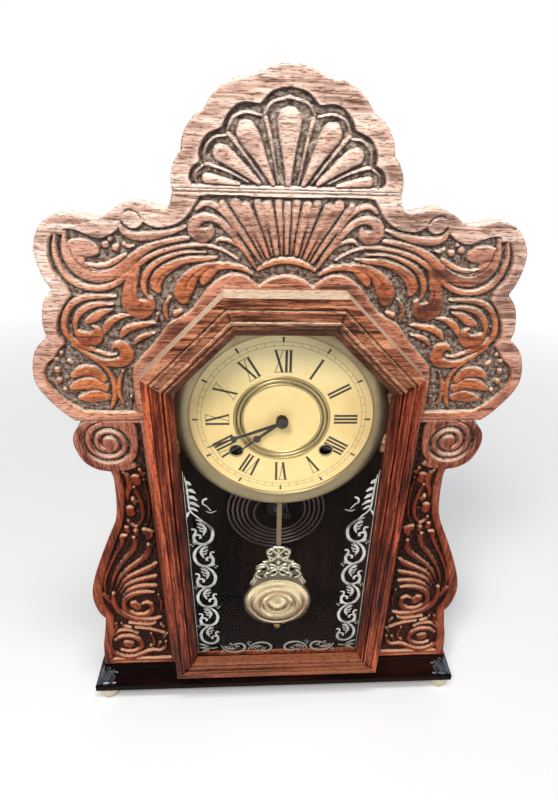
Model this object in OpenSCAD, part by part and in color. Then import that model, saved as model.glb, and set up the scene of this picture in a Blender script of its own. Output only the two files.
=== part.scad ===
// Shelf clock with a carved shell front, an octagon-top glazed door, a pendulum and a two-train movement.
// Units are millimetres, +Z is up, the dial faces -Y, and the origin is under the middle of the feet.

/* [Base] */
// Width of the base over its lower edge
base_w = 385; // [365:1:410]
// Height of the base above the feet
base_h = 29; // [24:1:36]
// Height of the upright band at the foot of the base
fascia_h = 6.5; // [4:0.5:10]
// How far the base flares out to its lower edge
flare = 11; // [6:0.5:14]
// Thickness of the base mouldings at their top
base_wall = 16; // [14:0.5:20]
// Thickness of the board inside the base
bottom_t = 12; // [8:0.5:14]
// Diameter of a foot
foot_d = 21; // [16:0.5:24]
// Height of a foot
foot_h = 16; // [8:0.5:20]

/* [Case box] */
// Width of the case box over its side boards
case_w = 204; // [200:1:212]
// Height of the case box above the base
case_h = 400; // [396:1:410]
// Depth behind the front boards
case_d = 86; // [84:1:96]
// Thickness of a side board
side_t = 9; // [7:0.5:10]
// Thickness of the top board
top_t = 9; // [7:0.5:12]
// Thickness of the back board
back_t = 8; // [6:0.5:10]
// Side of a batten or glue block
block_t = 12; // [8:0.5:14]

/* [Front boards] */
// Thickness of the carved front boards
front_t = 12; // [10:0.5:14]
// Height of the two side brackets
stile_h = 303; // [299:1:308]
// Width of the upper board over its lobes
panel_w = 370; // [360:1:384]
// Height of the upper board
panel_h = 169.5; // [165:0.5:176]
// Width of the crest
crest_w = 146; // [138:1:152]
// Height of the crest
crest_h = 70.5; // [66:0.5:76]
// Width of the plain rim round the carving
rim_w = 8; // [6:0.5:9]
// Depth of the carved ground below the rim
carve = 3; // [1.5:0.25:4]
// Width of a carved scroll
scroll_w = 5; // [3:0.5:7]

/* [Door] */
// Width of the door
door_w = 207.2; // [204:0.2:210]
// How far the door stands above the top of the case box
door_over = 9.4; // [6:0.2:12]
// How far the cut corners come in, along the top and down the sides
door_cut = 61; // [56:1:66]
// Thickness of the door
door_t = 18.7; // [16:0.1:20]
// Width of the side rails of the door
rail_side = 21; // [19:0.5:22]
// Width of the bottom rail
rail_bottom = 22.5; // [19:0.5:26]
// Width of the cut corner rails
rail_corner = 26.5; // [24:0.5:28]
// Width of the top rail
rail_top = 29.5; // [26:0.5:32]
// Thickness of the glass
glass_t = 2; // [1.5:0.1:2.5]
// Width of the rabbet that holds the glass
rabbet = 4; // [3:0.5:5]
// Gap between the door and what is behind or below it
door_gap = 0.3; // [0.2:0.1:0.6]
// Length of a hinge
hinge_l = 26; // [20:1:36]
// Radius of a hinge knuckle
knuckle_r = 1.9; // [1.7:0.1:2.2]
// Thickness of a hinge leaf
leaf_t = 0.8; // [0.6:0.1:1]

/* [Dial and hands] */
// Depth of the dial's centre below the top of the case box
dial_drop = 105; // [102:1:108]
// Radius of the dial's outer ring
ring_r = 88.5; // [86:0.5:89]
// Radius of the paper face inside the ring
paper_r = 75.5; // [72:0.5:78]
// Thickness of the dial plate
dial_t = 0.8; // [0.6:0.1:1.2]
// How far the ring stands in front of the paper
ring_h = 3.2; // [2:0.2:4]
// Radius of a winding hole
wind_hole_r = 5.5; // [5:0.25:6]
// Length of the minute hand
minute_l = 66; // [60:1:70]
// Length of the hour hand
hour_l = 47; // [42:1:52]
// Thickness of a hand
hand_t = 0.7; // [0.5:0.1:1]

/* [Movement] */
// Distance across from the dial's centre to a winding arbor
wind_x = 38.3; // [37:0.1:39]
// Distance down from the dial's centre to a winding arbor
wind_z = 31; // [30:0.25:32]
// Thickness of a movement plate
plate_t = 1.6; // [1.2:0.1:2]
// Clear space between the two plates
plate_gap = 38; // [37:0.5:40]
// Radius of a plate pillar
pillar_r = 3.6; // [3:0.1:4]
// Radius of a train arbor
arbor_r = 1.2; // [1:0.1:1.3]
// Radius of a pivot
pivot_r = 0.8; // [0.6:0.1:0.9]
// Radius of a winding arbor
wind_r = 2.5; // [2.2:0.1:2.8]
// Radius of the centre arbor
centre_r = 1.6; // [1.4:0.1:1.8]
// Running clearance of a pivot or bore, on the radius
run = 0.05; // [0.03:0.01:0.08]
// Width of a mainspring
spring_w = 17; // [14:0.5:17.5]
// Thickness of a mainspring
spring_t = 0.5; // [0.4:0.05:0.6]
// Turns of a mainspring
spring_turns = 8; // [6:1:9]

/* [Pendulum and gong] */
// Depth of the pendulum behind the front boards' face
pend_y = 25; // [24.5:0.1:25.5]
// Clearance of the bob above the floor of the case
bob_clear = 27.5; // [24:0.5:32]
// Radius of the bob
bob_r = 35.5; // [32:0.5:38]
// Thickness of the bob
bob_t = 9; // [7:0.5:10]
// Width of the pendulum rod
rod_w = 4.6; // [3.6:0.2:5]
// Thickness of the pendulum rod
rod_t = 1.4; // [1:0.1:1.6]
// Depth of the gong's centre below the dial's centre
gong_drop = 154; // [150:1:158]
// Outer radius of the gong's wire coil, to the middle of the wire
gong_r = 54; // [50:1:56]
// Diameter of the gong's wire
wire_d = 2; // [1.6:0.1:2.4]
// Distance from loop to loop
loop_step = 5; // [4:0.25:5.5]
// Loops of the gong
gong_loops = 5; // [4:1:5]
// Distance from the back board to the gong's wire
gong_off = 10; // [8:0.5:12]

/* [Hidden] */
$fn = 48;

// The frame: depth is centred between the door's face and the back of the case
door_front = -door_t - door_gap;
back_face = front_t + case_d;
centre_y = -(door_front + back_face) / 2;
base_top_w = base_w - 2 * flare;
inner_half = case_w / 2 - side_t;
board_y = back_face - back_t;

// The drawn sizes of the front boards' outlines, which the driving sizes stretch
drawn_panel = [370, 169.5];
drawn_stile = [363, 303];
drawn_crest = [146, 70.5];
stile_top = base_h + stile_h;
panel_top = stile_top + panel_h;

// The door's corners, front view
door_bottom = base_h + 2 * door_gap;
door_h = case_h + door_over;
door_top = door_bottom + door_h;
door_half = door_w / 2;
tan_half = tan(22.5);
door_outer = [
  [-door_half, door_bottom], [-door_half, door_top - door_cut], [-door_half + door_cut, door_top],
  [door_half - door_cut, door_top], [door_half, door_top - door_cut], [door_half, door_bottom]
];
sight_half = door_half - rail_side;
sight_top = door_top - rail_top;
sight_sum = door_half + door_top - door_cut - rail_corner * sqrt(2);
door_inner = [
  [-sight_half, door_bottom + rail_bottom], [-sight_half, sight_sum - sight_half],
  [-(sight_sum - sight_top), sight_top], [sight_sum - sight_top, sight_top],
  [sight_half, sight_sum - sight_half], [sight_half, door_bottom + rail_bottom]
];
glass_in = 9;
glass_y = door_front + glass_in;
pin_x = door_half + knuckle_r + 0.2;
pin_y = -door_gap - knuckle_r;
pin_r = 0.9;
leaf_w = 9.5;
hinge_low = 45;
hinge_drop = 34;
hinge_zs = [door_bottom + hinge_low, stile_top - hinge_drop];
hinge_seg = hinge_l / 3;

// The dial
dial_c = [0, base_h + case_h - dial_drop];
dial_y = front_t + 3;
ear_x = inner_half - 3;
ear_z = 20;
screw_r = 1.2;

// The opening in the front boards follows the case and clears the ring
open_half = inner_half;
open_top = dial_c[1] + ring_r + 4;
open_flat = 40;

// The movement: y is measured back from the inside of the front plate
front_plate_y = 33;
inner_y = front_plate_y + plate_t;
back_plate_y = inner_y + plate_gap;
plate_half = 68;
plate_low = -70;
plate_high = 68;
pillar_at = [[-60, -62], [60, -62], [-56, 60], [56, 60]];
thread_r = 2;
nut_h = 2.4;

// Teeth of the time train, then of the strike train, and the modules of their meshes
great_n = 78;
second_p = 10;
second_n = 66;
centre_p = 20;
centre_n = 60;
third_p = 8;
third_n = 66;
escape_p = 6;
escape_n = 42;
cam_p = 8;
cam_n = 56;
warning_p = 7;
warning_n = 50;
fly_p = 6;
count_n = 90;
m_great = 0.7;
m_mid = 0.6;
m_fine = 0.5;
cannon_n = 12;
minute_n = 36;
minute_p = 10;
hour_n = 40;
m_cannon = 0.6;
m_hour = m_cannon * (cannon_n + minute_n) / (minute_p + hour_n);

// Centres of the arbors, from the dial's centre
function mesh(m, a, b) = m * (a + b) / 2;
function polar(r, a) = r * [cos(a), sin(a)];
function bearing(a, b) = atan2(b[1] - a[1], b[0] - a[0]);
function flip(p) = [-p[0], p[1]];
// The point at ra from a and rb from b, on the left of the way from a to b for side 1
function meet(a, ra, b, rb, side) =
  let (d = norm(b - a), u = (b - a) / d, s = (ra * ra - rb * rb + d * d) / (2 * d))
  a + s * u + side * sqrt(ra * ra - s * s) * [-u[1], u[0]];
centre_c = [0, 0];
great_c = [wind_x, -wind_z];
second_c = meet(great_c, mesh(m_great, great_n, second_p), centre_c, mesh(m_mid, second_n, centre_p), -1);
third_c = polar(mesh(m_mid, centre_n, third_p), 60);
escape_d = mesh(m_fine, third_n, escape_p);
escape_c = [0, third_c[1] + sqrt(escape_d * escape_d - third_c[0] * third_c[0])];
escape_r = 16;
verge_c = escape_c + [0, 22];
minute_c = polar(mesh(m_cannon, cannon_n, minute_n), -60);
strike_c = flip(great_c);
pin_c = flip(second_c);
cam_c = pin_c + polar(mesh(m_mid, second_n, cam_p), 100);
warning_c = cam_c + polar(mesh(m_fine, cam_n, warning_p), 80);
fly_c = warning_c + polar(mesh(m_fine, warning_n, fly_p), 60);
count_r = 19;
count_c = cam_c + polar(count_r + 3, 187);
hammer_c = [0, -56];

// The pendulum bends just above the verge
bend_c = verge_c + [0, 4];
crutch_l = 38;
pend_l = dial_c[1] + bend_c[1] - base_h - bob_clear - bob_r;
bob_c = bend_c - [0, pend_l];
gong_c = [0, -gong_drop];
gong_y = board_y - gong_off;

stud_r = 1.1;
fine_r = 0.85;
pipe_r = 3;

// The ratchet and its click
ratchet_r = 11;
ratchet_n = 20;
click_at = polar(18, 90);

// Curves
function cr(a, b, c, d, t) = 0.5 * (2 * b + (c - a) * t + (2 * a - 5 * b + 4 * c - d) * t * t
  + (3 * b - 3 * c + d - a) * t * t * t);
// A smooth line through the points k, with n steps from each to the next
function smooth(k, n = 4) = let (e = len(k) - 1) [
  for (i = [0:e - 1], j = [0:n - 1])
    cr(i > 0 ? k[i - 1] : 2 * k[0] - k[1], k[i], k[i + 1], i < e - 1 ? k[i + 2] : 2 * k[e] - k[e - 1], j / n),
  k[e]
];
function arc(c, r, a0, a1, n = 12) = [for (i = [0:n]) c + polar(r, a0 + (a1 - a0) * i / n)];
// An arc from a to b that bows out by s on the left of the way
function bow(a, b, s, n = 8) =
  let (h = norm(b - a) / 2, r = (h * h + s * s) / (2 * s), u = (b - a) / (2 * h), m = (a + b) / 2,
    c = m - (r - s) * [-u[1], u[0]], g = asin(h / r), t = atan2(u[0], -u[1]))
  [for (i = [0:n]) c + polar(r, t + g - 2 * g * i / n)];
function flipped(p) = [for (i = [len(p) - 1:-1:0]) flip(p[i])];
function scaled(p, drawn, real) = [for (q = p) [q[0] * real[0] / drawn[0], q[1] * real[1] / drawn[1]]];
function blend(a, b, t) = a + (b - a) * t;

// Places: the whole clock, a part of the movement, and a flat shape drawn in the front view
module clock() translate([0, centre_y, foot_h]) children();
module at_dial(c = [0, 0]) clock() translate([dial_c[0] + c[0], 0, dial_c[1] + c[1]]) children();
module slab(y, t) translate([0, y + t, 0]) rotate([90, 0, 0]) linear_extrude(t) children();
module rod(c, r, y0, y1) translate([c[0], y0, c[1]]) rotate([-90, 0, 0]) cylinder(h = y1 - y0, r = r);

// Outlines of the left half, from the joint outward, in millimetres above the board's lower edge
panel_left = concat(
  smooth([[-73, 169.5], [-75.8, 161], [-81, 159.1], [-97, 162.6], [-110, 158.8], [-122, 151.8],
    [-142, 155], [-156, 150.2], [-164.5, 137.5], [-166, 128], [-163.8, 114.5], [-159.5, 105]]),
  smooth([[-159.5, 105], [-167, 94.7], [-170.4, 79], [-169.2, 70.3]]),
  smooth([[-169.2, 70.3], [-180, 58.6], [-185, 39], [-181.4, 24.7], [-170, 8.5], [-161.3, 0]])
);
stile_left_edge = concat(
  smooth([[-154, 303], [-163.5, 293], [-166.3, 280.5], [-161.5, 264.5], [-152, 256], [-141, 253.4]]),
  smooth([[-141, 253.4], [-139.6, 245], [-141, 220], [-145, 198], [-157.6, 169], [-169.8, 139],
    [-177.3, 114], [-178.6, 96], [-175.5, 80], [-171, 72]]),
  smooth([[-171, 72], [-174.5, 52], [-179, 29], [-181.5, 0]])
);
crest_left = concat(
  bow([-73, 0], [-66, 23.5], 3.2), bow([-66, 23.5], [-50.5, 46.5], 4),
  bow([-50.5, 46.5], [-21.5, 64], 5)
);
module panel_shape() {
  half = scaled(panel_left, drawn_panel, [panel_w, panel_h]);
  difference() {
    translate([0, stile_top]) polygon(concat(half, flipped(half)));
    opening();
  }
}
module stile_shape() {
  edge = scaled(stile_left_edge, drawn_stile, [base_top_w, stile_h]);
  translate([0, base_h]) polygon(concat(edge, [[-open_half, 0], [-open_half, stile_h]]));
}
module crest_shape() {
  half = scaled(crest_left, drawn_crest, [crest_w, crest_h]);
  top = scaled(bow([-21.5, 64], [21.5, 64], 6.5), drawn_crest, [crest_w, crest_h]);
  translate([0, panel_top]) polygon(concat(half, top, flipped(half)));
}
module opening() {
  polygon([[-open_half, base_h], [-open_half, open_top - open_half + open_flat], [-open_flat, open_top],
    [open_flat, open_top], [open_half, open_top - open_half + open_flat], [open_half, base_h]]);
}
module door_shape(grow = 0) offset(delta = grow) polygon(door_outer);

// A raised scroll: a spiral ribbon about c, from radius r0 at angle a0 to r1 at a1
module scroll(c, r0, r1, a0, a1, w = scroll_w, n = 20) {
  function swell(t) = 0.25 + 0.75 * sin(180 * min(1, t * 1.4 + 0.15));
  function at(i, d) = let (t = i / n) c + polar(blend(r0, r1, t) + d * swell(t), blend(a0, a1, t));
  polygon(concat([for (i = [0:n]) at(i, w / 2)], [for (i = [n:-1:0]) at(i, -w / 2)]));
}
// A leaf: a pointed oval from a to b, bowed by s
module leaf(a, b, s) polygon(concat(bow(a, b, s), bow(b, a, s * 0.25)));

// Carved ground: the shape less its rim, sunk by carve
module ground(margin) {
  slab(-1, 1 + carve) difference() {
    offset(delta = -rim_w) children(0);
    offset(delta = margin) children(1);
  }
}

module stile_relief() translate([0, base_h]) scale([base_top_w / drawn_stile[0], stile_h / drawn_stile[1]]) {
  scroll([-139, 281], 19, 6, 100, 520);
  scroll([-133, 87], 21, 5, 60, -330);
  scroll([-152, 26], 17, 6, 250, -110);
  leaf([-116, 122], [-163, 108], -9);
  leaf([-114, 136], [-158, 128], -9);
  leaf([-112, 151], [-148, 152], -8);
  leaf([-110, 168], [-134, 178], -7);
  leaf([-119, 196], [-131, 232], 5);
  leaf([-130, 194], [-117, 228], -5);
}
module panel_relief() translate([0, stile_top]) scale([panel_w / drawn_panel[0], panel_h / drawn_panel[1]]) {
  scroll([-140, 126], 20, 7, 150, 500);
  scroll([-56, 141], 14, 5, 180, -200);
  scroll([-132, 76], 17, 5, 30, 370);
  scroll([-148, 34], 19, 5, 200, -150);
  leaf([-118, 116], [-64, 126], 6);
  leaf([-108, 96], [-58, 112], -7);
  leaf([-104, 84], [-118, 62], 6);
  leaf([-126, 52], [-114, 24], 6);
  leaf([-60, 108], [-30, 126], 4);
  for (x = [8, 22, 36]) leaf([-x * 0.5, 124], [-x * 1.25, 156], -2.4);
}

// Base
module base_profile() {
  polygon(concat([[-base_wall, 0], [flare, 0], [flare, fascia_h]],
    bow([flare - 1.5, fascia_h + 1.5], [0.8, base_h - 2], 1.8), [[0.8, base_h], [-base_wall, base_h]]));
}
module feet() clock() color([0.86, 0.80, 0.70])
  for (x = [-1, 1], y = [-flare + foot_d / 2 + 0.3, back_face - foot_d / 2 - 1])
    translate([x * (base_w / 2 - foot_d / 2 - 0.3), y, -foot_h])
      rotate_extrude() polygon(concat([[0, 0], [foot_d * 0.36, 0]],
        [for (a = [0:11.25:90]) [foot_d * (0.36 + 0.14 * sin(a)), foot_h * 0.62 * (1 - cos(a)) + 0.4]],
        [[foot_d * 0.46, foot_h], [0, foot_h]]));
module base_front() clock() color([0.20, 0.07, 0.04]) intersection() {
  translate([-base_w / 2, 0, 0]) rotate([90, 0, 90]) linear_extrude(base_w) mirror([1, 0]) base_profile();
  linear_extrude(base_h) polygon([[-base_w / 2, -flare], [base_w / 2, -flare],
    [base_w / 2 - flare - base_wall, base_wall], [-base_w / 2 + flare + base_wall, base_wall]]);
}
module base_sides() clock() color([0.20, 0.07, 0.04]) for (s = [0, 1]) mirror([s, 0, 0]) intersection() {
  translate([base_top_w / 2, back_face, 0]) rotate([90, 0, 0])
    linear_extrude(back_face + flare) base_profile();
  linear_extrude(base_h) polygon([[base_w / 2, -flare], [base_w / 2, back_face],
    [base_w / 2 - flare - base_wall, back_face], [base_w / 2 - flare - base_wall, base_wall]]);
}
module bottom_board() clock() color([0.24, 0.10, 0.06])
  translate([-base_top_w / 2 + base_wall, base_wall, base_h - bottom_t])
    cube([base_top_w - 2 * base_wall, back_face - base_wall, bottom_t]);

// Case box
module side_boards() clock() color([0.30, 0.12, 0.07]) for (s = [0, 1]) mirror([s, 0, 0])
  translate([inner_half, front_t, base_h]) cube([side_t, case_d - back_t, case_h - top_t]);
module top_board() clock() color([0.30, 0.12, 0.07])
  translate([-case_w / 2, front_t, base_h + case_h - top_t]) cube([case_w, case_d - back_t, top_t]);
module back_board() clock() color([0.30, 0.14, 0.09]) difference() {
  translate([-case_w / 2, board_y, base_h]) cube([case_w, back_t, case_h]);
  translate([0, 0, dial_c[1]]) for (p = foot_screws) rod(p, screw_r + 0.4 + run, board_y - 1, board_y + 6);
  translate([0, 0, dial_c[1]]) rod(gong_c, screw_r + 0.4 + run, board_y - 1, board_y + 6);
}
// Upright cleats behind the dial, a batten behind the crest and blocks behind the brackets
module glue_blocks() clock() color([0.45, 0.28, 0.16]) {
  difference() {
    for (s = [0, 1]) mirror([s, 0, 0])
      translate([inner_half - 7, dial_y + dial_t, dial_c[1] - 34]) cube([7, block_t, 68]);
    translate([0, 0, dial_c[1]]) for (p = ear_screws) rod(p, screw_r + run, dial_y, dial_y + 8);
  }
  for (x = [-1, 1]) translate([x * crest_w / 4 - block_t / 2, front_t, base_h + case_h])
    cube([block_t, block_t, panel_top + crest_h * 0.55 - base_h - case_h]);
  for (s = [0, 1], z = [base_h, stile_top - 40]) mirror([s, 0, 0])
    translate([case_w / 2, front_t, z]) cube([block_t, block_t, 36]);
}

// Carved front boards
module hinge_leaf_seat(y) for (z = hinge_zs)
  translate([pin_x - knuckle_r - leaf_w, y, z - hinge_l / 2]) cube([leaf_w + knuckle_r, leaf_t, hinge_l]);
module stile_left() clock() color([0.42, 0.12, 0.05]) {
  difference() {
    slab(0, front_t) stile_shape();
    ground(4) {
      stile_shape();
      door_shape();
    }
  }
  slab(0, carve + 0.5) intersection() {
    stile_relief();
    difference() {
      offset(delta = -rim_w * 0.5) stile_shape();
      door_shape(1);
    }
  }
}
module stile_right() clock() color([0.42, 0.12, 0.05]) difference() {
  mirror([1, 0, 0]) union() {
    difference() {
      slab(0, front_t) stile_shape();
      ground(4) {
        stile_shape();
        door_shape();
      }
    }
    slab(0, carve + 0.5) intersection() {
      stile_relief();
      difference() {
        offset(delta = -rim_w * 0.5) stile_shape();
        door_shape(1);
      }
    }
  }
  hinge_leaf_seat(0);
}
module upper_panel() clock() color([0.45, 0.14, 0.06]) {
  difference() {
    slab(0, front_t) panel_shape();
    ground(8) {
      panel_shape();
      door_shape();
    }
  }
  slab(0, carve + 0.5) intersection() {
    union() {
      panel_relief();
      mirror([1, 0]) panel_relief();
    }
    difference() {
      offset(delta = -rim_w * 0.5) panel_shape();
      door_shape(6);
    }
  }
}
// One lobe of the shell: a round-ended tapering roll sunk in the ground, from its narrow foot to its head
module lobe(foot, head, r0, r1) {
  l = norm(head - foot);
  intersection() {
    translate([foot[0], carve, foot[1]]) rotate([0, 90 - bearing(foot, head), 0]) {
      cylinder(h = l, r1 = r0, r2 = r1);
      translate([0, 0, l]) sphere(r1);
      sphere(r0);
    }
    translate([-crest_w, 0, 0]) cube([2 * crest_w, carve + 1, 3 * crest_w + stile_h]);
  }
}
module crest() clock() color([0.50, 0.20, 0.12]) {
  sx = crest_w / drawn_crest[0];
  sz = crest_h / drawn_crest[1];
  lobes = [[[0, 8], [0, 38], 2.5, 8.5], [[-10, 8], [-22.5, 33], 2.2, 7.2], [[-19, 7.5], [-41, 21.5], 2, 5.6],
    [[-28, 5.8], [-48, 9], 1.8, 3.6]];
  difference() {
    slab(0, front_t) crest_shape();
    slab(-1, 1 + carve) intersection() {
      offset(delta = -rim_w) crest_shape();
      translate([-crest_w / 2, panel_top + 3]) square([crest_w, crest_h]);
    }
  }
  for (q = lobes, s = q[0][0] == 0 ? [1] : [1, -1])
    lobe([s * q[0][0] * sx, panel_top + q[0][1] * sz], [s * q[1][0] * sx, panel_top + q[1][1] * sz],
      q[2], q[3]);
}

// Door: each rail is the moulding's section drawn at both mitres, from the outer to the inner corner
rail_section = concat(
  [[0, 0], [0.24, 0], [0.26, 1.1]],
  [for (i = [0:4]) [0.345 - 0.045 * cos(i * 45), 1 - 0.9 * sin(i * 45)]],
  [[0.41, 1.2], [0.58, 1.7]],
  [for (i = [0:4]) [0.635 - 0.05 * cos(i * 45), 1.6 - 1.4 * sin(i * 45)]],
  [[0.70, 2.4]],
  [for (i = [0:4]) [0.76 - 0.05 * cos(i * 45), 2.6 - 1.1 * sin(i * 45)]],
  [[0.83, 4], [1, 7.4], [1, glass_in]]
);
module rail(k) {
  o = [door_outer[k], door_outer[(k + 1) % 6]];
  n = [door_inner[k], door_inner[(k + 1) % 6]];
  // The rabbet's inner corner lies back from the sight edge along each mitre
  back = 1 - rabbet / rail_side;
  ring = [for (j = [0, 1]) let (b = blend(o[j], n[j], back)) concat(
    [for (q = rail_section) let (p = blend(o[j], n[j], q[0])) [p[0], door_front + q[1], p[1]]],
    [[b[0], glass_y, b[1]], [b[0], -door_gap, b[1]], [o[j][0], -door_gap, o[j][1]]])];
  m = len(ring[0]);
  polyhedron(concat(ring[0], ring[1]), concat(
    [[for (i = [0:m - 1]) i]],
    [for (i = [0:m - 1]) [i, m + i, m + (i + 1) % m, (i + 1) % m]],
    [[for (i = [m - 1:-1:0]) m + i]]), convexity = 6);
}
module door_bottom_rail() clock() color([0.45, 0.16, 0.07]) rail(5);
module door_side_rails() clock() color([0.40, 0.12, 0.06]) difference() {
  for (k = [0, 4]) rail(k);
  hinge_leaf_seat(-door_gap - leaf_t);
}
module door_corner_rails() clock() color([0.42, 0.16, 0.09]) for (k = [1, 3]) rail(k);
module door_top_rail() clock() color([0.42, 0.16, 0.09]) rail(2);
function rabbet_at(k, f) = blend(door_outer[k], door_inner[k], 1 - f * rabbet / rail_side);
module door_glass() clock() color([0.8, 0.85, 0.85, 0.35])
  slab(glass_y, glass_t) polygon([for (k = [0:5]) rabbet_at(k, 0.95)]);
module glass_stops() clock() color([0.35, 0.15, 0.08]) for (k = [0:5]) {
  j = (k + 1) % 6;
  slab(glass_y + glass_t, 3)
    polygon([rabbet_at(k, 1), rabbet_at(j, 1), rabbet_at(j, 0.15), rabbet_at(k, 0.15)]);
}
// A butt hinge's half: its leaf and its knuckles, with the pin's bore
module hinge_half(y, segs, bore) {
  difference() {
    union() {
      translate([pin_x - knuckle_r - leaf_w, y, -hinge_l / 2]) cube([leaf_w + knuckle_r, leaf_t, hinge_l]);
      for (s = segs) translate([pin_x, pin_y, (s - 1.5) * hinge_seg + 0.1]) {
        cylinder(h = hinge_seg - 0.2, r = knuckle_r);
        translate([-0.6, 0, 0]) cube([0.6, y - pin_y + leaf_t / 2, hinge_seg - 0.2]);
      }
    }
    translate([pin_x, pin_y, -hinge_l]) cylinder(h = 2 * hinge_l, r = bore);
    for (s = [0:2]) if (len([for (q = segs) if (q == s) q]) == 0)
      translate([pin_x, pin_y, (s - 1.5) * hinge_seg - 0.1]) difference() {
        cylinder(h = hinge_seg + 0.2, r = knuckle_r + 0.3);
        if (y >= 0) translate([-5, -pin_y, -1]) cube([10, 5, hinge_seg + 3]);
      }
  }
}
module case_hinges() clock() color([0.62, 0.50, 0.28]) for (z = hinge_zs) translate([0, 0, z]) {
  hinge_half(0, [0, 2], pin_r);
  translate([pin_x, pin_y, -hinge_l / 2 + 0.1]) cylinder(h = hinge_l - 0.2, r = pin_r);
}
module door_hinges() clock() color([0.62, 0.50, 0.28]) for (z = hinge_zs) translate([0, 0, z])
  hinge_half(-door_gap - leaf_t, [1], pin_r + run);

// Dial
ear_screws = [for (x = [-1, 1], z = [-1, 1]) [x * ear_x, z * ear_z]];
module dial_plate() at_dial() color([0.90, 0.80, 0.55]) slab(dial_y, dial_t) difference() {
  union() {
    circle(ring_r - 0.5);
    for (p = ear_screws) translate([p[0] - (p[0] > 0 ? 8 : 2.6), p[1] - 4]) square([10.6, 8]);
  }
  circle(4.5);
  for (s = [-1, 1]) translate([s * wind_x, -wind_z]) circle(wind_hole_r);
  for (p = ear_screws) translate(p) circle(screw_r + run);
}
module dial_ring() at_dial() color([0.70, 0.58, 0.38]) translate([0, dial_y, 0]) rotate([90, 0, 0])
  rotate_extrude($fn = 96) polygon(concat([[paper_r, 0]],
    [for (a = [0:18:180]) [blend(paper_r, ring_r, (1 - cos(a)) / 2), 0.5 + (ring_h - 0.5) * sin(a)]],
    [[ring_r, 0]]));
module dial_screws() at_dial() color([0.70, 0.58, 0.38]) for (p = ear_screws) {
  rod(p, screw_r, dial_y, dial_y + 8);
  rod(p, 2.3, dial_y - 1, dial_y);
}

// Gong: one wire, from the block round and out
gong_rings = 24 * gong_loops;
gong_lead = 18;
gong_in = 11;
gong_inner = gong_r - gong_loops * loop_step;
function gong_at(i) = i < gong_lead
  ? polar(blend(gong_in, gong_inner, (1 - cos(180 * i / gong_lead)) / 2), -90 + 15 * (i - gong_lead))
  : polar(gong_inner + (i - gong_lead) * loop_step / 24, -90 + 15 * (i - gong_lead));
gong_path = [for (i = [0:gong_lead + gong_rings]) gong_at(i)];
function wire_dir(p, i) = let (e = len(p) - 1, d = p[min(i + 1, e)] - p[max(i - 1, 0)]) d / norm(d);
module gong_wire(p) {
  e = len(p) - 1;
  pts = [for (i = [0:e], j = [0:5]) let (d = wire_dir(p, i), q = polar(wire_d / 2, 60 * j))
    [p[i][0] - d[1] * q[0], gong_y + q[1], p[i][1] + d[0] * q[0]]];
  polyhedron(pts, concat([[for (j = [5:-1:0]) j]],
    [for (i = [0:e - 1], j = [0:5]) [6 * i + 6 + j, 6 * i + j, 6 * i + 6 + (j + 1) % 6]],
    [for (i = [0:e - 1], j = [0:5]) [6 * i + 6 + (j + 1) % 6, 6 * i + j, 6 * i + (j + 1) % 6]],
    [[for (j = [0:5]) 6 * e + j]]), convexity = 10);
}
// Where the hammer meets the outer loop
strike_at = 35;
strike_r = gong_r - loop_step * (270 - strike_at) / 360 + wire_d / 2 + 0.4;
gong_end = gong_path[0];
gong_tail = gong_end - [0, wire_d * 1.5];
least_gap = min([for (i = [0:len(gong_path) - 20], j = [i + 18:1:min(i + 30, len(gong_path) - 1)])
  norm(gong_path[i] - gong_path[j])]) - wire_d;
echo(gong_least_gap = least_gap);
module gong_coil() at_dial(gong_c) color([0.45, 0.42, 0.40]) gong_wire(concat([gong_tail], gong_path));
block_r = 11;
module gong_block() at_dial(gong_c) color([0.12, 0.11, 0.11]) difference() {
  union() {
    rod([0, 0], block_r, gong_y + wire_d, board_y);
    translate([gong_tail[0] - 4, gong_y - 2.5, gong_tail[1] - 8]) cube([7, 2.5 + wire_d + 1, 8]);
  }
  rod([0, 0], screw_r + 0.4 + run, gong_y, board_y + 1);
}

// Movement plates, pillars and feet
time_pivots = [second_c, third_c, escape_c];
strike_pivots = [pin_c, cam_c, warning_c, fly_c];
module plate_shape(centre_hole, wind_hole) difference() {
  translate([-plate_half, plate_low]) square([2 * plate_half, plate_high - plate_low]);
  for (p = concat(time_pivots, strike_pivots)) translate(p) circle(pivot_r + run);
  for (p = [great_c, strike_c]) translate(p) circle(wind_hole);
  translate(centre_c) circle(centre_hole);
  translate(verge_c) circle(pivot_r + run);
  translate(hammer_c) circle(arbor_r + run);
  for (p = pillar_at) translate(p) circle(thread_r);
  for (s = [-1, 1]) {
    translate([s * 38, 52]) circle(7);
    translate([s * 52, 28]) circle(7);
    translate([s * 18, -60]) circle(6);
  }
}
// The front plate also has the studs of the minute wheel and the count wheel
module front_plate() at_dial() color([0.72, 0.58, 0.30]) {
  slab(front_plate_y, plate_t) difference() {
    plate_shape(centre_r + run, wind_r + run);
    translate(cam_c) circle(arbor_r + run);
  }
  rod(minute_c, stud_r, front_plate_y - 6.4, front_plate_y + 0.5);
  rod(count_c, stud_r, front_plate_y - 3.4, front_plate_y + 0.5);
}
module back_plate() at_dial() color([0.72, 0.58, 0.30])
  slab(back_plate_y, plate_t) plate_shape(pivot_r + run, wind_r + run);
module plate_pillars() at_dial() color([0.50, 0.47, 0.44]) for (p = pillar_at) {
  rod(p, pillar_r, inner_y, back_plate_y);
  rod(p, thread_r, front_plate_y - nut_h - 0.6, back_plate_y + plate_t + nut_h + 0.6);
}
module pillar_nuts() at_dial() color([0.60, 0.52, 0.34])
  for (p = pillar_at, y = [front_plate_y - nut_h, back_plate_y + plate_t]) difference() {
    translate([p[0], y, p[1]]) rotate([-90, 0, 0]) cylinder(h = nut_h, r = 4, $fn = 6);
    rod(p, thread_r, y - 1, y + nut_h + 1);
  }
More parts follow.
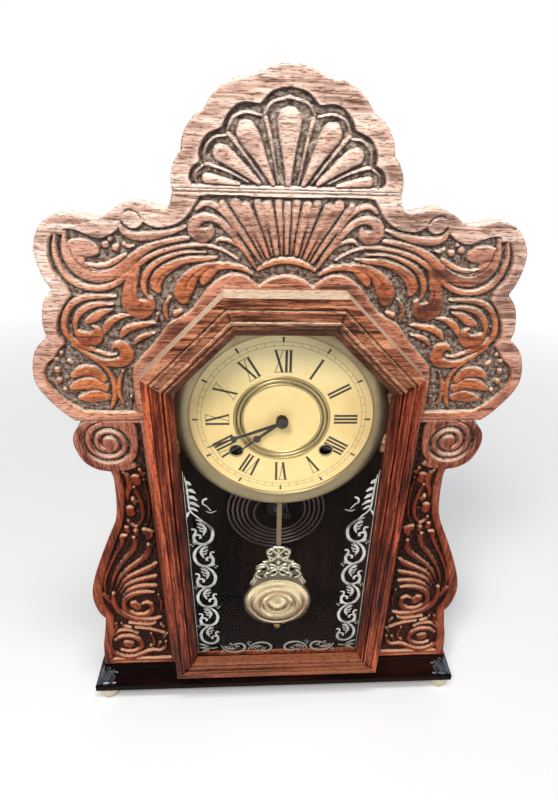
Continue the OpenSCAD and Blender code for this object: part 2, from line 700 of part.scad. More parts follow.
foot_z = 40;
foot_screws = [for (x = [-1, 1], z = [-1, 1]) [x * (plate_half + 8), z * foot_z]];
foot_tail_y = back_plate_y + plate_t;
module movement_feet() at_dial() color([0.72, 0.58, 0.30]) for (p = foot_screws) translate([0, 0, p[1]])
  mirror([p[0] < 0 ? 1 : 0, 0, 0]) difference() {
    union() {
      translate([plate_half - 12, foot_tail_y, -6]) cube([13.5, 1.5, 12]);
      translate([plate_half, foot_tail_y, -6]) cube([1.5, board_y - foot_tail_y, 12]);
      translate([plate_half, board_y - 1.5, -6]) cube([15, 1.5, 12]);
    }
    rod([plate_half + 8, 0], screw_r + 0.4 + run, board_y - 3, board_y + 1);
  }
module case_screws() at_dial() color([0.55, 0.52, 0.48]) {
  for (p = foot_screws) {
    rod(p, screw_r + 0.4, board_y - 1.5, board_y + 6);
    rod(p, 3.2, board_y - 3, board_y - 1.5);
  }
  rod(gong_c, screw_r + 0.4, gong_y + wire_d, board_y + 6);
  rod(gong_c, 3.6, gong_y + wire_d - 1.6, gong_y + wire_d);
}
// A mainspring: a strip wound from the arbor out, whose end runs straight to the pillar at post
hub_r = 3;
spring_in = hub_r + 0.3 + spring_t / 2;
spring_out = 24;
module spring_shape(post) {
  n = spring_turns * 20;
  end = bearing([0, 0], post) - acos(spring_out / norm(post));
  coil = [for (i = [0:n]) polar(blend(spring_in, spring_out, i / n), end - spring_turns * 360 * (1 - i / n))];
  u = (post - coil[n]) / norm(post - coil[n]);
  line = concat(coil, [post - (pillar_r + 0.05) * u]);
  side = [for (i = [0:n + 1])
    let (d = i > n ? u : line[min(i + 1, n + 1)] - line[max(i - 1, 0)]) [-d[1], d[0]] / norm(d)];
  polygon(concat([for (i = [0:n + 1]) line[i] + side[i] * spring_t / 2],
    [for (i = [n + 1:-1:0]) line[i] - side[i] * spring_t / 2]));
}
module mainsprings() at_dial() color([0.35, 0.38, 0.45])
  for (q = [[great_c, pillar_at[1]], [strike_c, pillar_at[0]]])
    translate([q[0][0], 0, q[0][1]]) slab(inner_y + 18, spring_w) spring_shape(q[1] - q[0]);
module suspension_post() at_dial(bend_c) color([0.72, 0.58, 0.30]) difference() {
  union() {
    rod([0, 4], 2.6, pend_y - 3, front_plate_y);
    translate([-3, pend_y - 3, -0.5]) cube([6, 6, 7]);
  }
  translate([-0.45, pend_y - 4, -2]) cube([0.9, 8, 5]);
}

// Wheels and pinions
function pitch(m) = PI * m;
// Outline of a wheel with n pointed teeth, one of which points along angle a
function teeth(n, m, a, add = 0.8, ded = 1.1, half = 0.19, tip = 0.07) =
  let (r = n * m / 2, g = 360 / n, low = r - ded * m, mid = r - 0.1 * m, high = r + add * m)
  [for (i = [0:n - 1], q = [[-0.36, low], [-half, mid], [-tip, high], [tip, high], [half, mid], [0.36, low]])
    polar(q[1], a + (i + q[0]) * g)];
module gear(n, m, a, t, hub, arms = 4, bore = 0) slab(0, t) difference() {
  root = n * m / 2 - 1.1 * m;
  union() {
    difference() {
      polygon(teeth(n, m, a));
      circle(root - 2.2);
    }
    circle(hub);
    for (i = [0:arms - 1]) rotate(i * 360 / arms + 20) translate([0, -1.1]) square([root - 1, 2.2]);
  }
  if (bore > 0) circle(bore);
}
module lantern(n, m, a, l) {
  r = n * m / 2;
  pin = 0.17 * pitch(m);
  for (i = [0:n - 1]) rod(polar(r, a + 180 / n + 360 * i / n), pin, 0.4, l - 0.4);
  for (y = [0, l - 0.8]) rod([0, 0], r + pin + 0.4, y, y + 0.8);
  rod([0, 0], max(r - pin - 1.1 * m, 0.55), 0, l);
}
module leaves(n, m, a, l) slab(0, l) polygon(teeth(n, m, a + 180 / n));
// An arbor with a pivot at each end, between the plates
module arbor(r = arbor_r, front = 0) {
  rod([0, 0], r, inner_y + 0.3, back_plate_y - 0.3);
  rod([0, 0], pivot_r, front_plate_y - front, back_plate_y + plate_t);
}
module layer(y) translate([0, inner_y + y, 0]) children();

// Time train
module winding_arbor() {
  rod([0, 0], wind_r, front_plate_y - 3, back_plate_y + plate_t);
  flat = wind_r * 0.7;
  translate([-flat, dial_y + 3, -flat]) cube([2 * flat, front_plate_y - dial_y - 5, 2 * flat]);
  layer(11) slab(0, 2) polygon([for (i = [0:ratchet_n - 1], q = [[0, ratchet_r], [0.12, ratchet_r - 1.8]])
    polar(q[1], 90 + 360 * (i + q[0]) / ratchet_n)]);
  layer(17) rod([0, 0], hub_r, 0, 19);
}
module great_wheel(to) {
  layer(13.5) gear(great_n, m_great, to, 2, 8, 5, wind_r + run);
  layer(10.6) rod(click_at, 1.5, 0, 2.9);
  layer(13.5) slab(0, 2) translate(click_at) circle(3);
}
// The click lies along the ratchet's edge, its nose just clear of the tooth tips
module click() layer(11) difference() {
  slab(0, 2) union() {
    translate(click_at) circle(3);
    polygon([click_at + [0, 3], click_at + [-9, -2.5], polar(ratchet_r + 0.35, 121),
      polar(ratchet_r + 0.35, 115), click_at + [-2, -2.6]]);
  }
  rod(click_at, 1.5 + run, -1, 3);
}
module winding_arbor_time() at_dial(great_c) color([0.50, 0.47, 0.44]) winding_arbor();
module great_wheel_time() at_dial(great_c) color([0.75, 0.60, 0.30]) great_wheel(bearing(great_c, second_c));
module click_time() at_dial(great_c) color([0.50, 0.47, 0.44]) click();
module second_wheel() at_dial(second_c) color([0.75, 0.60, 0.30]) {
  arbor();
  layer(11.5) lantern(second_p, m_great, bearing(second_c, great_c), 6);
  layer(7) gear(second_n, m_mid, bearing(second_c, centre_c), 1.2, 4);
}
module centre_wheel() at_dial(centre_c) color([0.75, 0.60, 0.30]) {
  rod([0, 0], centre_r, 6, back_plate_y - 0.3);
  rod([0, 0], pivot_r, back_plate_y - 1, back_plate_y + plate_t);
  layer(5.5) leaves(centre_p, m_mid, bearing(centre_c, second_c), 4);
  layer(11) gear(centre_n, m_mid, bearing(centre_c, third_c), 1.2, 4);
  translate([0, front_plate_y - 3, 0]) leaves(cannon_n, m_cannon, bearing(centre_c, minute_c), 2.6);
}
module third_wheel() at_dial(third_c) color([0.75, 0.60, 0.30]) {
  arbor();
  layer(9) lantern(third_p, m_mid, bearing(third_c, centre_c), 5);
  layer(20) gear(third_n, m_fine, bearing(third_c, escape_c), 1, 3.5);
}
module escape_wheel() at_dial(escape_c) color([0.75, 0.60, 0.30]) {
  arbor(fine_r);
  layer(18) lantern(escape_p, m_fine, bearing(escape_c, third_c), 5);
  layer(2) slab(0, 1) difference() {
    union() {
      difference() {
        polygon([for (i = [0:escape_n - 1], q = [[0, 0], [0.18, 2.2], [0.75, 2.2]])
          polar(escape_r - q[1], 360 * (i + q[0]) / escape_n)]);
        circle(escape_r - 4.4);
      }
      circle(3);
      for (i = [0:3]) rotate(90 * i) translate([0, -0.9]) square([escape_r - 3.5, 1.8]);
    }
  }
}
// Verge: a strip bent to two pallets, just clear of the teeth at mid swing, and the crutch in front
pallet_a = acos(escape_r / norm(verge_c - escape_c));
pallet_clear = 1.05;
module verge() at_dial(verge_c) color([0.50, 0.48, 0.46]) {
  rod([0, 0], pivot_r, front_plate_y - 5.5, back_plate_y + plate_t);
  rod([0, 0], arbor_r, inner_y + 0.3, back_plate_y - 0.3);
  for (s = [-1, 1]) {
    p = escape_c - verge_c + polar(escape_r + pallet_clear, 90 - s * pallet_a);
    q = p + polar(5, 90 - s * pallet_a);
    layer(1) slab(0, 3) polygon([[-s * 0.5, 1.4], [s, 1.4], q + [s * 0.9, 0.4], p + [s * 0.9, 0],
      p - [s * 0.3, 0], q - [s * 0.6, 0.9], [-s * 0.5, -1.4]]);
  }
  rod([0, 0], 2, front_plate_y - 5.5, front_plate_y - 3.5);
  translate([-0.7, front_plate_y - 5.1, -crutch_l]) cube([1.4, 1.2, crutch_l]);
  for (s = [-1, 1]) translate([s * (rod_w / 2 + 0.8) - 0.5, pend_y - 1.5, -crutch_l])
    cube([1, front_plate_y - 3.9 - pend_y + 1.5, 1.6]);
  translate([-rod_w / 2 - 1.3, front_plate_y - 5.1, -crutch_l]) cube([rod_w + 2.6, 1.2, 1.6]);
}
// Motion work and hands
module minute_wheel() at_dial(minute_c) color([0.75, 0.60, 0.30]) difference() {
  union() {
    to = bearing(minute_c, centre_c);
    translate([0, front_plate_y - 2.4, 0]) gear(minute_n, m_cannon, to, 1, 3.4);
    translate([0, front_plate_y - 5.6, 0]) leaves(minute_p, m_hour, to + 180 / minute_p, 3.2);
  }
  rod([0, 0], stud_r + run, front_plate_y - 9, front_plate_y);
}
module hour_wheel() at_dial() color([0.75, 0.60, 0.30]) difference() {
  union() {
    translate([0, front_plate_y - 5.4, 0])
      gear(hour_n, m_hour, bearing(centre_c, minute_c) + 180 / hour_n, 1, 5);
    rod([0, 0], pipe_r, dial_y - 4.2, front_plate_y - 4.6);
  }
  rod([0, 0], centre_r + run, 0, front_plate_y);
}
minute_angle = 249;
hour_angle = 230.5;
// A hand drawn along +Z: a slim blade with a spade part way out
module hand_shape(l, spade, w) {
  polygon(concat([[1.5, 0], [1.1, spade - 4]], arc([0, spade], w, -40, 80, 6),
    [[0.9, spade + 6], [0.35, l], [-0.35, l], [-0.9, spade + 6]],
    arc([0, spade], w, 100, 220, 6), [[-1.1, spade - 4], [-1.5, 0]]));
}
module hour_hand() at_dial() color([0.05, 0.05, 0.05])
  slab(dial_y - 4, hand_t) rotate(-hour_angle) difference() {
    union() {
      circle(5.2);
      hand_shape(hour_l, 27, 3.2);
    }
    circle(pipe_r);
  }
module minute_hand() at_dial() color([0.05, 0.05, 0.05])
  slab(dial_y - 6.2, hand_t) rotate(-minute_angle) difference() {
    union() {
      circle(4);
      hand_shape(minute_l, 43, 2.6);
    }
    circle(centre_r);
  }
module hand_nut() at_dial() color([0.10, 0.08, 0.06]) difference() {
  translate([0, dial_y - 6.2, 0]) rotate([90, 0, 0]) rotate_extrude()
    polygon([[0, 0], [4.6, 0], [4.8, 0.8], [4.2, 2], [2.8, 2.9], [0, 3.3]]);
  rod([0, 0], centre_r, 6, dial_y);
}

// Pendulum: spring, rod with an eye that passes the centre arbor, bracket, bob and nut
eye_r = 8.4;
rod_top = -13;
rod_end = -pend_l - bob_r - 4;
stem_w = 2;
module suspension_spring() at_dial(bend_c) color([0.50, 0.52, 0.56]) {
  translate([-0.15, pend_y - 2, rod_top - 2.5]) cube([0.3, 4, -rod_top + 4.5]);
}
module pendulum_rod() at_dial(bend_c) color([0.60, 0.50, 0.34]) {
  eye_c = -bend_c[1];
  difference() {
    translate([-rod_w / 2, pend_y - 2.4, rod_top - 5]) cube([rod_w, 4.8, 5]);
    translate([-0.15, pend_y - 3, rod_top - 2.5]) cube([0.3, 6, 3]);
  }
  translate([0, pend_y - rod_t / 2, 0]) slab(0, rod_t) {
    translate([-rod_w / 2, eye_c + eye_r]) square([rod_w, rod_top - 4 - eye_c - eye_r]);
    translate([-rod_w / 2, bracket_z]) square([rod_w, eye_c - eye_r - bracket_z]);
    translate([0, eye_c]) difference() {
      circle(eye_r + 1.8);
      circle(eye_r);
    }
  }
  translate([-stem_w / 2, pend_y - rod_t / 2, rod_end]) cube([stem_w, rod_t, bracket_z - rod_end + 1]);
}
bracket_z = -pend_l + 79;
bracket_left = [[-7, 79], [-9, 78], [-12.5, 75], [-11.5, 68], [-10, 63], [-16, 60], [-15, 56], [-23, 52],
  [-22, 46], [-25.5, 40], [-24, 36], [-29, 29], [-25, 25]];
bracket_holes = [[-6, 70, 2.2], [-5, 57, 2.4], [-14, 49, 2.8], [-4, 45, 2.2], [-17, 39.5, 2.2]];
module bob_bracket() at_dial(bob_c) color([0.74, 0.70, 0.60]) difference() {
  slab(pend_y - rod_t / 2 - 1.6, 1.6) difference() {
    polygon(concat(smooth(bracket_left, 2), flipped(smooth(bracket_left, 2))));
    circle(bob_r - 6);
    for (h = bracket_holes, s = [-1, 1]) translate([s * h[0], h[1]]) circle(h[2]);
  }
  translate([0, pend_y, 0]) bob_core();
}
// The bob turned: a domed disc with rings and a boss
module bob_core() {
  // The height of the face in front of the rim
  face = bob_t - 5;
  rotate([90, 0, 0]) rotate_extrude($fn = 96) polygon(concat(
    [[0, -3], [bob_r - 5, -3], [bob_r - 0.5, -1], [bob_r, 0]],
    [for (a = [15:15:90]) [bob_r - 6 * (1 - cos(a)), face * sin(a)]],
    [[bob_r - 7.5, face - 0.6]], [for (a = [0:45:180]) [bob_r - 13 + 4.5 * cos(a), face + 1.4 * sin(a)]],
    [[bob_r - 19, face - 0.4], [14, face + 0.8], [10.5, face + 0.4], [9, face + 1.6], [5, face + 3.8],
      [0, face + 4.6]]));
}
module bob() at_dial(bob_c) color([0.80, 0.68, 0.42]) difference() {
  translate([0, pend_y, 0]) bob_core();
  translate([-stem_w / 2, pend_y - rod_t / 2, -bob_r - 10]) cube([stem_w, 6, 2 * bob_r + 20]);
}
module rating_nut() at_dial(bob_c) color([0.72, 0.56, 0.30]) difference() {
  translate([0, pend_y, -bob_r - 7.9]) rotate_extrude()
    polygon([[0, 0], [1.2, 0.3], [2, 2.4], [3.4, 4], [4, 6.2], [3, 7.6], [0, 7.6]]);
  translate([-stem_w / 2, pend_y - rod_t / 2, -bob_r - 4]) cube([stem_w, rod_t, 20]);
}

// Strike train
module winding_arbor_strike() at_dial(strike_c) color([0.50, 0.47, 0.44]) winding_arbor();
module great_wheel_strike() at_dial(strike_c) color([0.75, 0.60, 0.30]) great_wheel(bearing(strike_c, pin_c));
module click_strike() at_dial(strike_c) color([0.50, 0.47, 0.44]) click();
pin_ring_r = 16.2;
module pin_wheel() at_dial(pin_c) color([0.75, 0.60, 0.30]) {
  arbor();
  layer(11.5) lantern(second_p, m_great, bearing(pin_c, strike_c), 6);
  layer(3.5) gear(second_n, m_mid, bearing(pin_c, cam_c), 1.2, 4);
  for (i = [0:9]) layer(4.5) rod(polar(pin_ring_r + 1.2, 36 * i + 8), 0.5, 0, 3.5);
}
module cam_wheel() at_dial(cam_c) color([0.75, 0.60, 0.30]) {
  arbor(arbor_r, 5.5);
  rod([0, 0], arbor_r, front_plate_y - 5, inner_y + 1);
  layer(1.6) lantern(cam_p, m_mid, bearing(cam_c, pin_c), 5);
  layer(9) gear(cam_n, m_fine, bearing(cam_c, warning_c), 1, 4);
  layer(24) slab(0, 1.6) difference() {
    circle(6.5);
    translate([4, -2]) square([4, 4]);
  }
}
module warning_wheel() at_dial(warning_c) color([0.75, 0.60, 0.30]) {
  arbor();
  layer(7) lantern(warning_p, m_fine, bearing(warning_c, cam_c), 5);
  layer(15) gear(warning_n, m_fine, bearing(warning_c, fly_c), 1, 3.5);
  layer(16) rod([9.5, 0], 0.5, -0.5, 2.5);
}
module fly() at_dial(fly_c) color([0.72, 0.58, 0.30]) {
  arbor(fine_r);
  layer(13) lantern(fly_p, m_fine, bearing(fly_c, warning_c), 5);
  layer(20) translate([-10, 0, -0.3]) cube([20, 14, 0.6]);
}
module count_wheel() at_dial(count_c) color([0.75, 0.60, 0.30]) difference() {
  translate([0, front_plate_y - 2.6, 0]) slab(0, 1) difference() {
    polygon([for (i = [0:count_n - 1], q = [[0, count_r], [0.5, count_r - (i % 9 == 4 ? 3 : 0.9)]])
      polar(q[1], 360 * (i + q[0]) / count_n)]);
    for (i = [0:4]) rotate(72 * i) translate([9.5, 0]) circle(3.6);
  }
  rod([0, 0], stud_r + run, 0, front_plate_y);
}
module hammer() at_dial(hammer_c) color([0.55, 0.50, 0.42]) {
  rod([0, 0], arbor_r, front_plate_y, gong_y + 1.2);
  head = gong_c - hammer_c + polar(strike_r + 4, strike_at);
  tip = pin_c - hammer_c + polar(pin_ring_r + 2.6, -52);
  layer(5) slab(0, 1.6) polygon([[-1.6, 0], tip + [-0.9, -0.3], tip + [1, 0.6], [1.6, 0]]);
  layer(4.6) rod([0, 0], 2.2, 0, 2.4);
  translate([0, gong_y, 0]) rotate([0, 90 - bearing([0, 0], head), 0]) cylinder(h = norm(head), r = 0.8);
  translate([head[0], gong_y, head[1]]) rotate([0, 90 - strike_at, 0]) cylinder(h = 8, r = 3, center = true);
}

feet();
base_front();
base_sides();
bottom_board();
side_boards();
top_board();
back_board();
glue_blocks();
stile_left();
stile_right();
upper_panel();
crest();
dial_plate();
dial_ring();
dial_screws();
gong_block();
gong_coil();
case_screws();
front_plate();
back_plate();
plate_pillars();
pillar_nuts();
movement_feet();
mainsprings();
suspension_post();
case_hinges();
door_bottom_rail();
door_side_rails();
door_corner_rails();
door_top_rail();
door_glass();
glass_stops();
door_hinges();
winding_arbor_time();
great_wheel_time();
click_time();
second_wheel();
centre_wheel();
third_wheel();
escape_wheel();
verge();
minute_wheel();
hour_wheel();
hour_hand();
minute_hand();
hand_nut();
suspension_spring();
pendulum_rod();
bob_bracket();
bob();
rating_nut();
winding_arbor_strike();
great_wheel_strike();
click_strike();
pin_wheel();
cam_wheel();
warning_wheel();
fly();
count_wheel();
hammer();
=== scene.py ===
# Looks of the carved shelf clock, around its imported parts. Units are metres, +Z is up, the dial faces -Y.
import itertools
import math
import bpy
import numpy as np
from mathutils import Matrix, Vector


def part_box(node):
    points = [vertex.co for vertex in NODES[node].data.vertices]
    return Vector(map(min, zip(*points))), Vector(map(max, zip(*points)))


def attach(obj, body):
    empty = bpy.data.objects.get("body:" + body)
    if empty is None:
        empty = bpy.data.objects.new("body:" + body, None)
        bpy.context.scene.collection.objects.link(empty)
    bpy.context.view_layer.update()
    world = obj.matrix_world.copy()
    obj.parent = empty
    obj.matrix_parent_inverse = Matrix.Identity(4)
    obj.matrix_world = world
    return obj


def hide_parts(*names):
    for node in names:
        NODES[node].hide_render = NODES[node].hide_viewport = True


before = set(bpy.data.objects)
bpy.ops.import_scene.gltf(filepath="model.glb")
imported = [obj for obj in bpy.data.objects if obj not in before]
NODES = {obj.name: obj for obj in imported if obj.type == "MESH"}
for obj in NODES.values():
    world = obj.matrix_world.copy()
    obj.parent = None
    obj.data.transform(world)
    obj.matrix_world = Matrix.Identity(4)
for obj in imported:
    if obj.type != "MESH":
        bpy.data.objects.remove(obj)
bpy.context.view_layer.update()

MM = 0.001


def end_of(node, axis=1, end=0):
    """Where a node's box ends along an axis, to a micrometre: its front, unless told otherwise."""
    return round(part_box(node)[end][axis], 6)


def middle_of(node, axis=2):
    """The middle of a node's box along an axis, to a micrometre: its height, unless told otherwise."""
    return round((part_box(node)[0][axis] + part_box(node)[1][axis]) / 2, 6)


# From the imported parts: the faces of the boards, the door and the dial, the glass's back, and two middles
FACE_Y, DOOR_Y, DIAL_Y = end_of("upper_panel"), end_of("door_top_rail"), end_of("dial_plate")
GLASS_Y = end_of("door_glass", end=1)
DIAL_Z, BOB_Z = middle_of("dial_plate"), middle_of("bob")

# The boards are drawn in millimetres from the clock's middle line and above a zero line, here above the floor
DRAWN_Z = 24.0
BOARD_THICK = round((end_of("upper_panel", end=1) - FACE_Y) / MM, 3)
PANEL_Z, STILE_Z, CREST_Z = (round(end_of(node, 2) / MM, 1) - DRAWN_Z
                             for node in ("upper_panel", "stile_left", "crest"))


# Materials
class Nodes:
    """A short way to write the nodes of a material or of the world."""

    def __init__(self, name, world=False):
        self.owner = (bpy.data.worlds if world else bpy.data.materials).new(name)
        self.owner.use_nodes = True
        self.tree = self.owner.node_tree
        self.tree.nodes.clear()
        self.out = self.tree.nodes.new("ShaderNodeOutputWorld" if world else "ShaderNodeOutputMaterial")

    def put(self, socket, value):
        """Links or sets an input; a colour of three numbers is made opaque."""
        if isinstance(value, bpy.types.NodeSocket):
            self.tree.links.new(value, socket)
        elif value is not None:
            socket.default_value = (*value, 1) if socket.type == "RGBA" else value

    def new(self, kind, inputs, output=0, **settings):
        """Adds a node with its inputs, by name or number, and gives one of its outputs."""
        node = self.tree.nodes.new(kind)
        for key, value in settings.items():
            setattr(node, key, value)
        for key, value in inputs.items():
            self.put(node.inputs[key], value)
        return node.outputs[output]

    def axis(self, name, kind="Object"):
        where = self.new("ShaderNodeTexCoord", {}, kind)
        return self.new("ShaderNodeSeparateXYZ", {0: where}, name)

    def object(self, axis="X", stretch=1):
        """Places on the object, drawn out along one axis where stretch is under 1."""
        where = self.new("ShaderNodeTexCoord", {}, "Object")
        scale = [stretch if a == axis else 1 for a in "XYZ"]
        return self.new("ShaderNodeMapping", {"Vector": where, "Scale": scale})

    def noise(self, where, scale, detail, rough, warp=0.0):
        inputs = {"Vector": where, "Scale": scale, "Detail": detail, "Roughness": rough, "Distortion": warp}
        return self.new("ShaderNodeTexNoise", inputs, "Fac")

    def attribute(self, name):
        return self.new("ShaderNodeAttribute", {}, "Fac", attribute_name=name)

    def ramp(self, value, stops):
        """Colours by value, from pairs of a place and a colour."""
        ramp = self.tree.nodes.new("ShaderNodeValToRGB")
        self.put(ramp.inputs["Fac"], value)
        elements = ramp.color_ramp.elements
        while len(elements) < len(stops):
            elements.new(0.5)
        for element, (place, colour) in zip(elements, stops):
            element.position = place
            element.color = (*colour, 1)
        return ramp.outputs["Color"]

    def math(self, operation, a, b=None):
        return self.new("ShaderNodeMath", {0: a, 1: b}, operation=operation)

    def plus(self, a, b):
        return self.math("ADD", a, b)

    def times(self, a, b):
        return self.math("MULTIPLY", a, b)

    def distance(self, a, b):
        return self.math("SQRT", self.plus(self.times(a, a), self.times(b, b)))

    def span(self, value, a, b, c=0.0, d=1.0):
        """Maps a to b evenly to c to d, and holds c and d beyond."""
        inputs = {"Value": value, "From Min": a, "From Max": b, "To Min": c, "To Max": d}
        return self.new("ShaderNodeMapRange", inputs, clamp=True)

    def mix(self, share, a, b, blend="MIX"):
        """A colour between a and b, by b's share."""
        return self.new("ShaderNodeMix", {0: share, 6: a, 7: b}, 2, data_type="RGBA", blend_type=blend)

    def stain(self, base, colour, much, *masks):
        """The base with so much of a colour where all the masks are 1."""
        share = masks[0]
        for factor in (*masks[1:], much):
            share = self.times(share, factor)
        return self.mix(share, base, colour)

    def bump(self, height, strength, depth):
        return self.new("ShaderNodeBump", {"Height": height, "Strength": strength, "Distance": depth})

    def shader(self, colour, rough, metallic=0.0, coat=0.0, specular=0.5, **more):
        """A Principled shader; more names its other inputs, with _ for a space."""
        inputs = {"Base Color": colour, "Roughness": rough, "Metallic": metallic, "Coat Weight": coat,
                  "Coat Roughness": 0.1, "Specular IOR Level": specular}
        inputs.update((key.replace("_", " "), value) for key, value in more.items())
        return self.new("ShaderNodeBsdfPrincipled", inputs)

    def finish(self, shader):
        self.put(self.out.inputs["Surface"], shader)
        return self.owner

    def surface(self, *inputs, **named):
        return self.finish(self.shader(*inputs, **named))

    def for_camera(self, shader, seen, share=1.0):
        """A shader that the camera sees as another, by a share, while light still meets the first."""
        camera = self.new("ShaderNodeLightPath", {}, "Is Camera Ray")
        return self.new("ShaderNodeMixShader", {0: self.times(share, camera), 1: shader, 2: seen})


# Where the dark, middle and light tone of a wood lie on the noise of its grain
TONE_STOPS = (0.4, 0.5, 0.62)


def wood(name, tones, grain, rough=0.42, specular=0.22, carved=None, high=None, lit=None, groove=0, deep=None,
         arch=None):
    """Stained wood with long grain lines and short dark pores along one axis.

    tones are its dark, middle and light brown. carved is (three tones of the rim, the painted highlight of
    the raised parts, two of the low ground, two of the high ground) for a board with hollows; its ground is
    painted shade low down and painted reflection higher up. high is (from height, to height, three tones, the
    painted highlight there) where it turns paler, as a painted sheen of light from above. lit is the painted
    sheen, low and high, of faces that look up; faces that look down get painted shade. groove is how far
    painted shade darkens the corners. deep is the front of a moulding whose inner steps get painted shade.
    arch is (x, x, z, z): within the first x and below the first z the painted sheen of high drops to a fifth,
    and it is whole again at the second x or z."""
    n = Nodes(name)
    dark = tones[0]

    # The wood's dark tone, dimmed further, for painted shade
    def painted_shade(part):
        return tuple(part * c for c in dark)

    def grained(colours):
        return n.ramp(tone, list(zip(TONE_STOPS, colours)))

    long, short = n.object(grain, 0.06), n.object(grain, 0.17)
    lines = n.noise(long, 420, 6, 0.62, 0.6)
    bands = n.noise(long, 60, 3, 0.5, 1.2)
    pore = n.span(n.noise(short, 1250, 2, 0.55), 0.52, 0.64)
    patch = n.math("SUBTRACT", n.noise(n.object(), 9, 3, 0.5), 0.5)
    tone = n.plus(n.times(lines, 0.6), n.times(bands, 0.4))
    tone = n.plus(tone, n.times(patch, 0.35))
    colour = grained(tones)
    rough_v = n.span(lines, 0.3, 0.7, rough - 0.06, rough + 0.1)
    rim, up = n.attribute("rim") if carved else 0.0, 0.0
    if carved:
        colour = n.stain(colour, grained(carved[0]), 0.75, rim)
    # Painted sheen: higher up, and sooner on the rim, the wood turns to the paler high tones as if lit from
    # above
    if high:
        sheen_lift = n.plus(n.times(rim, 0.085), n.times(patch, 0.07))
        up = n.span(n.plus(n.axis("Z"), sheen_lift), *high[:2])
        # Near the middle, below the door's arch, the painted sheen drops to a fifth
        if arch:
            across, above = n.math("ABSOLUTE", n.axis("X")), n.axis("Z")
            up = n.times(up, n.math("MAXIMUM", n.span(across, *arch[:2], 0.2), n.span(above, *arch[2:], 0.2)))
        colour = n.mix(up, colour, grained(high[2]))
    if carved:
        low = n.attribute("hollow")
        # Painted highlight on the raised parts, paler where the painted sheen is
        proud = n.times(n.attribute("proud"), n.span(tone, 0.34, 0.58, 0.35, 1.0))
        colour = n.stain(colour, n.mix(up, carved[1], high[3]), 0.8, proud)
        # The sunk ground, mottled: darker low down as painted shade, grey-beige higher up as painted
        # reflection on the lacquer
        spots = n.span(n.noise(n.object(), 330, 4, 0.6), 0.42, 0.6)
        ground = n.mix(up, n.mix(spots, *carved[2]), n.mix(spots, *carved[3]))
        colour = n.mix(n.span(low, 0.1, 0.7, 0.0, 0.94), colour, ground)
        # Painted shade at the foot of each raised edge
        colour = n.mix(n.span(n.attribute("edge"), 0.25, 0.95, 0.0, 0.75), colour, painted_shade(0.3))
        rough_v = n.plus(rough_v, n.times(low, 0.3))
    if groove:
        # Painted shade in the corners, by ambient occlusion
        open_air = n.new("ShaderNodeAmbientOcclusion", {"Distance": groove}, "AO", samples=6)
        colour = n.mix(n.span(open_air, 0.9, 0.45, 0.0, 0.95), colour, painted_shade(0.3))
    if deep:
        # Painted shade on the steps of a moulding that lie behind its front
        step = n.math("SUBTRACT", n.axis("Y"), deep)
        colour = n.mix(n.span(step, 0.0006, 0.0042, 0.0, 0.55), colour, painted_shade(0.5))
    if lit:
        # Painted sheen on faces that look up, painted shade on faces that look down
        facing = n.axis("Z", "Normal")
        colour = n.mix(n.span(facing, 0.3, 0.72, 0.0, 0.85), colour, n.mix(up, *lit))
        colour = n.mix(n.span(facing, -0.3, -0.72, 0.0, 0.85), colour, painted_shade(0.4))
    colour = n.mix(n.times(pore, 0.85), colour, (0.26, 0.18, 0.15), "MULTIPLY")
    height = n.math("SUBTRACT", lines, n.times(pore, 0.6))
    return n.surface(colour, rough_v, Normal=n.bump(height, 0.4, 0.0004), specular=specular)


def metal(name, colour, dull, rough, scratch=0.15, spots=0.25, drawn=1, shine=1.0):
    """Worn metal: fine scratches in the roughness, drawn out upward, and duller tarnish in clouds."""
    n = Nodes(name)
    cloud = n.noise(n.object(), 38, 5, 0.6, 0.4)
    fine = n.noise(n.object("Z", drawn), 900, 3, 0.6)
    base = n.mix(n.span(cloud, 0.5 - spots, 0.78), colour, dull)
    rough_v = n.plus(n.span(cloud, 0.3, 0.7, rough - 0.06, rough + 0.1), n.times(fine, scratch))
    return n.surface(base, rough_v, metallic=shine, Normal=n.bump(fine, 0.12, 0.0002))


def lacquer(name, colour, worn, rough, scale=120, much=0.3):
    """A painted or lacquered surface with slight mottling."""
    n = Nodes(name)
    cloud = n.noise(n.object(), scale, 5, 0.6)
    base = n.mix(n.span(cloud, 0.45, 0.75, 0.0, much), colour, worn)
    rough_v = n.span(cloud, 0.3, 0.7, rough - 0.05, rough + 0.12)
    return n.surface(base, rough_v, coat=0.2, Normal=n.bump(cloud, 0.1, 0.0003))


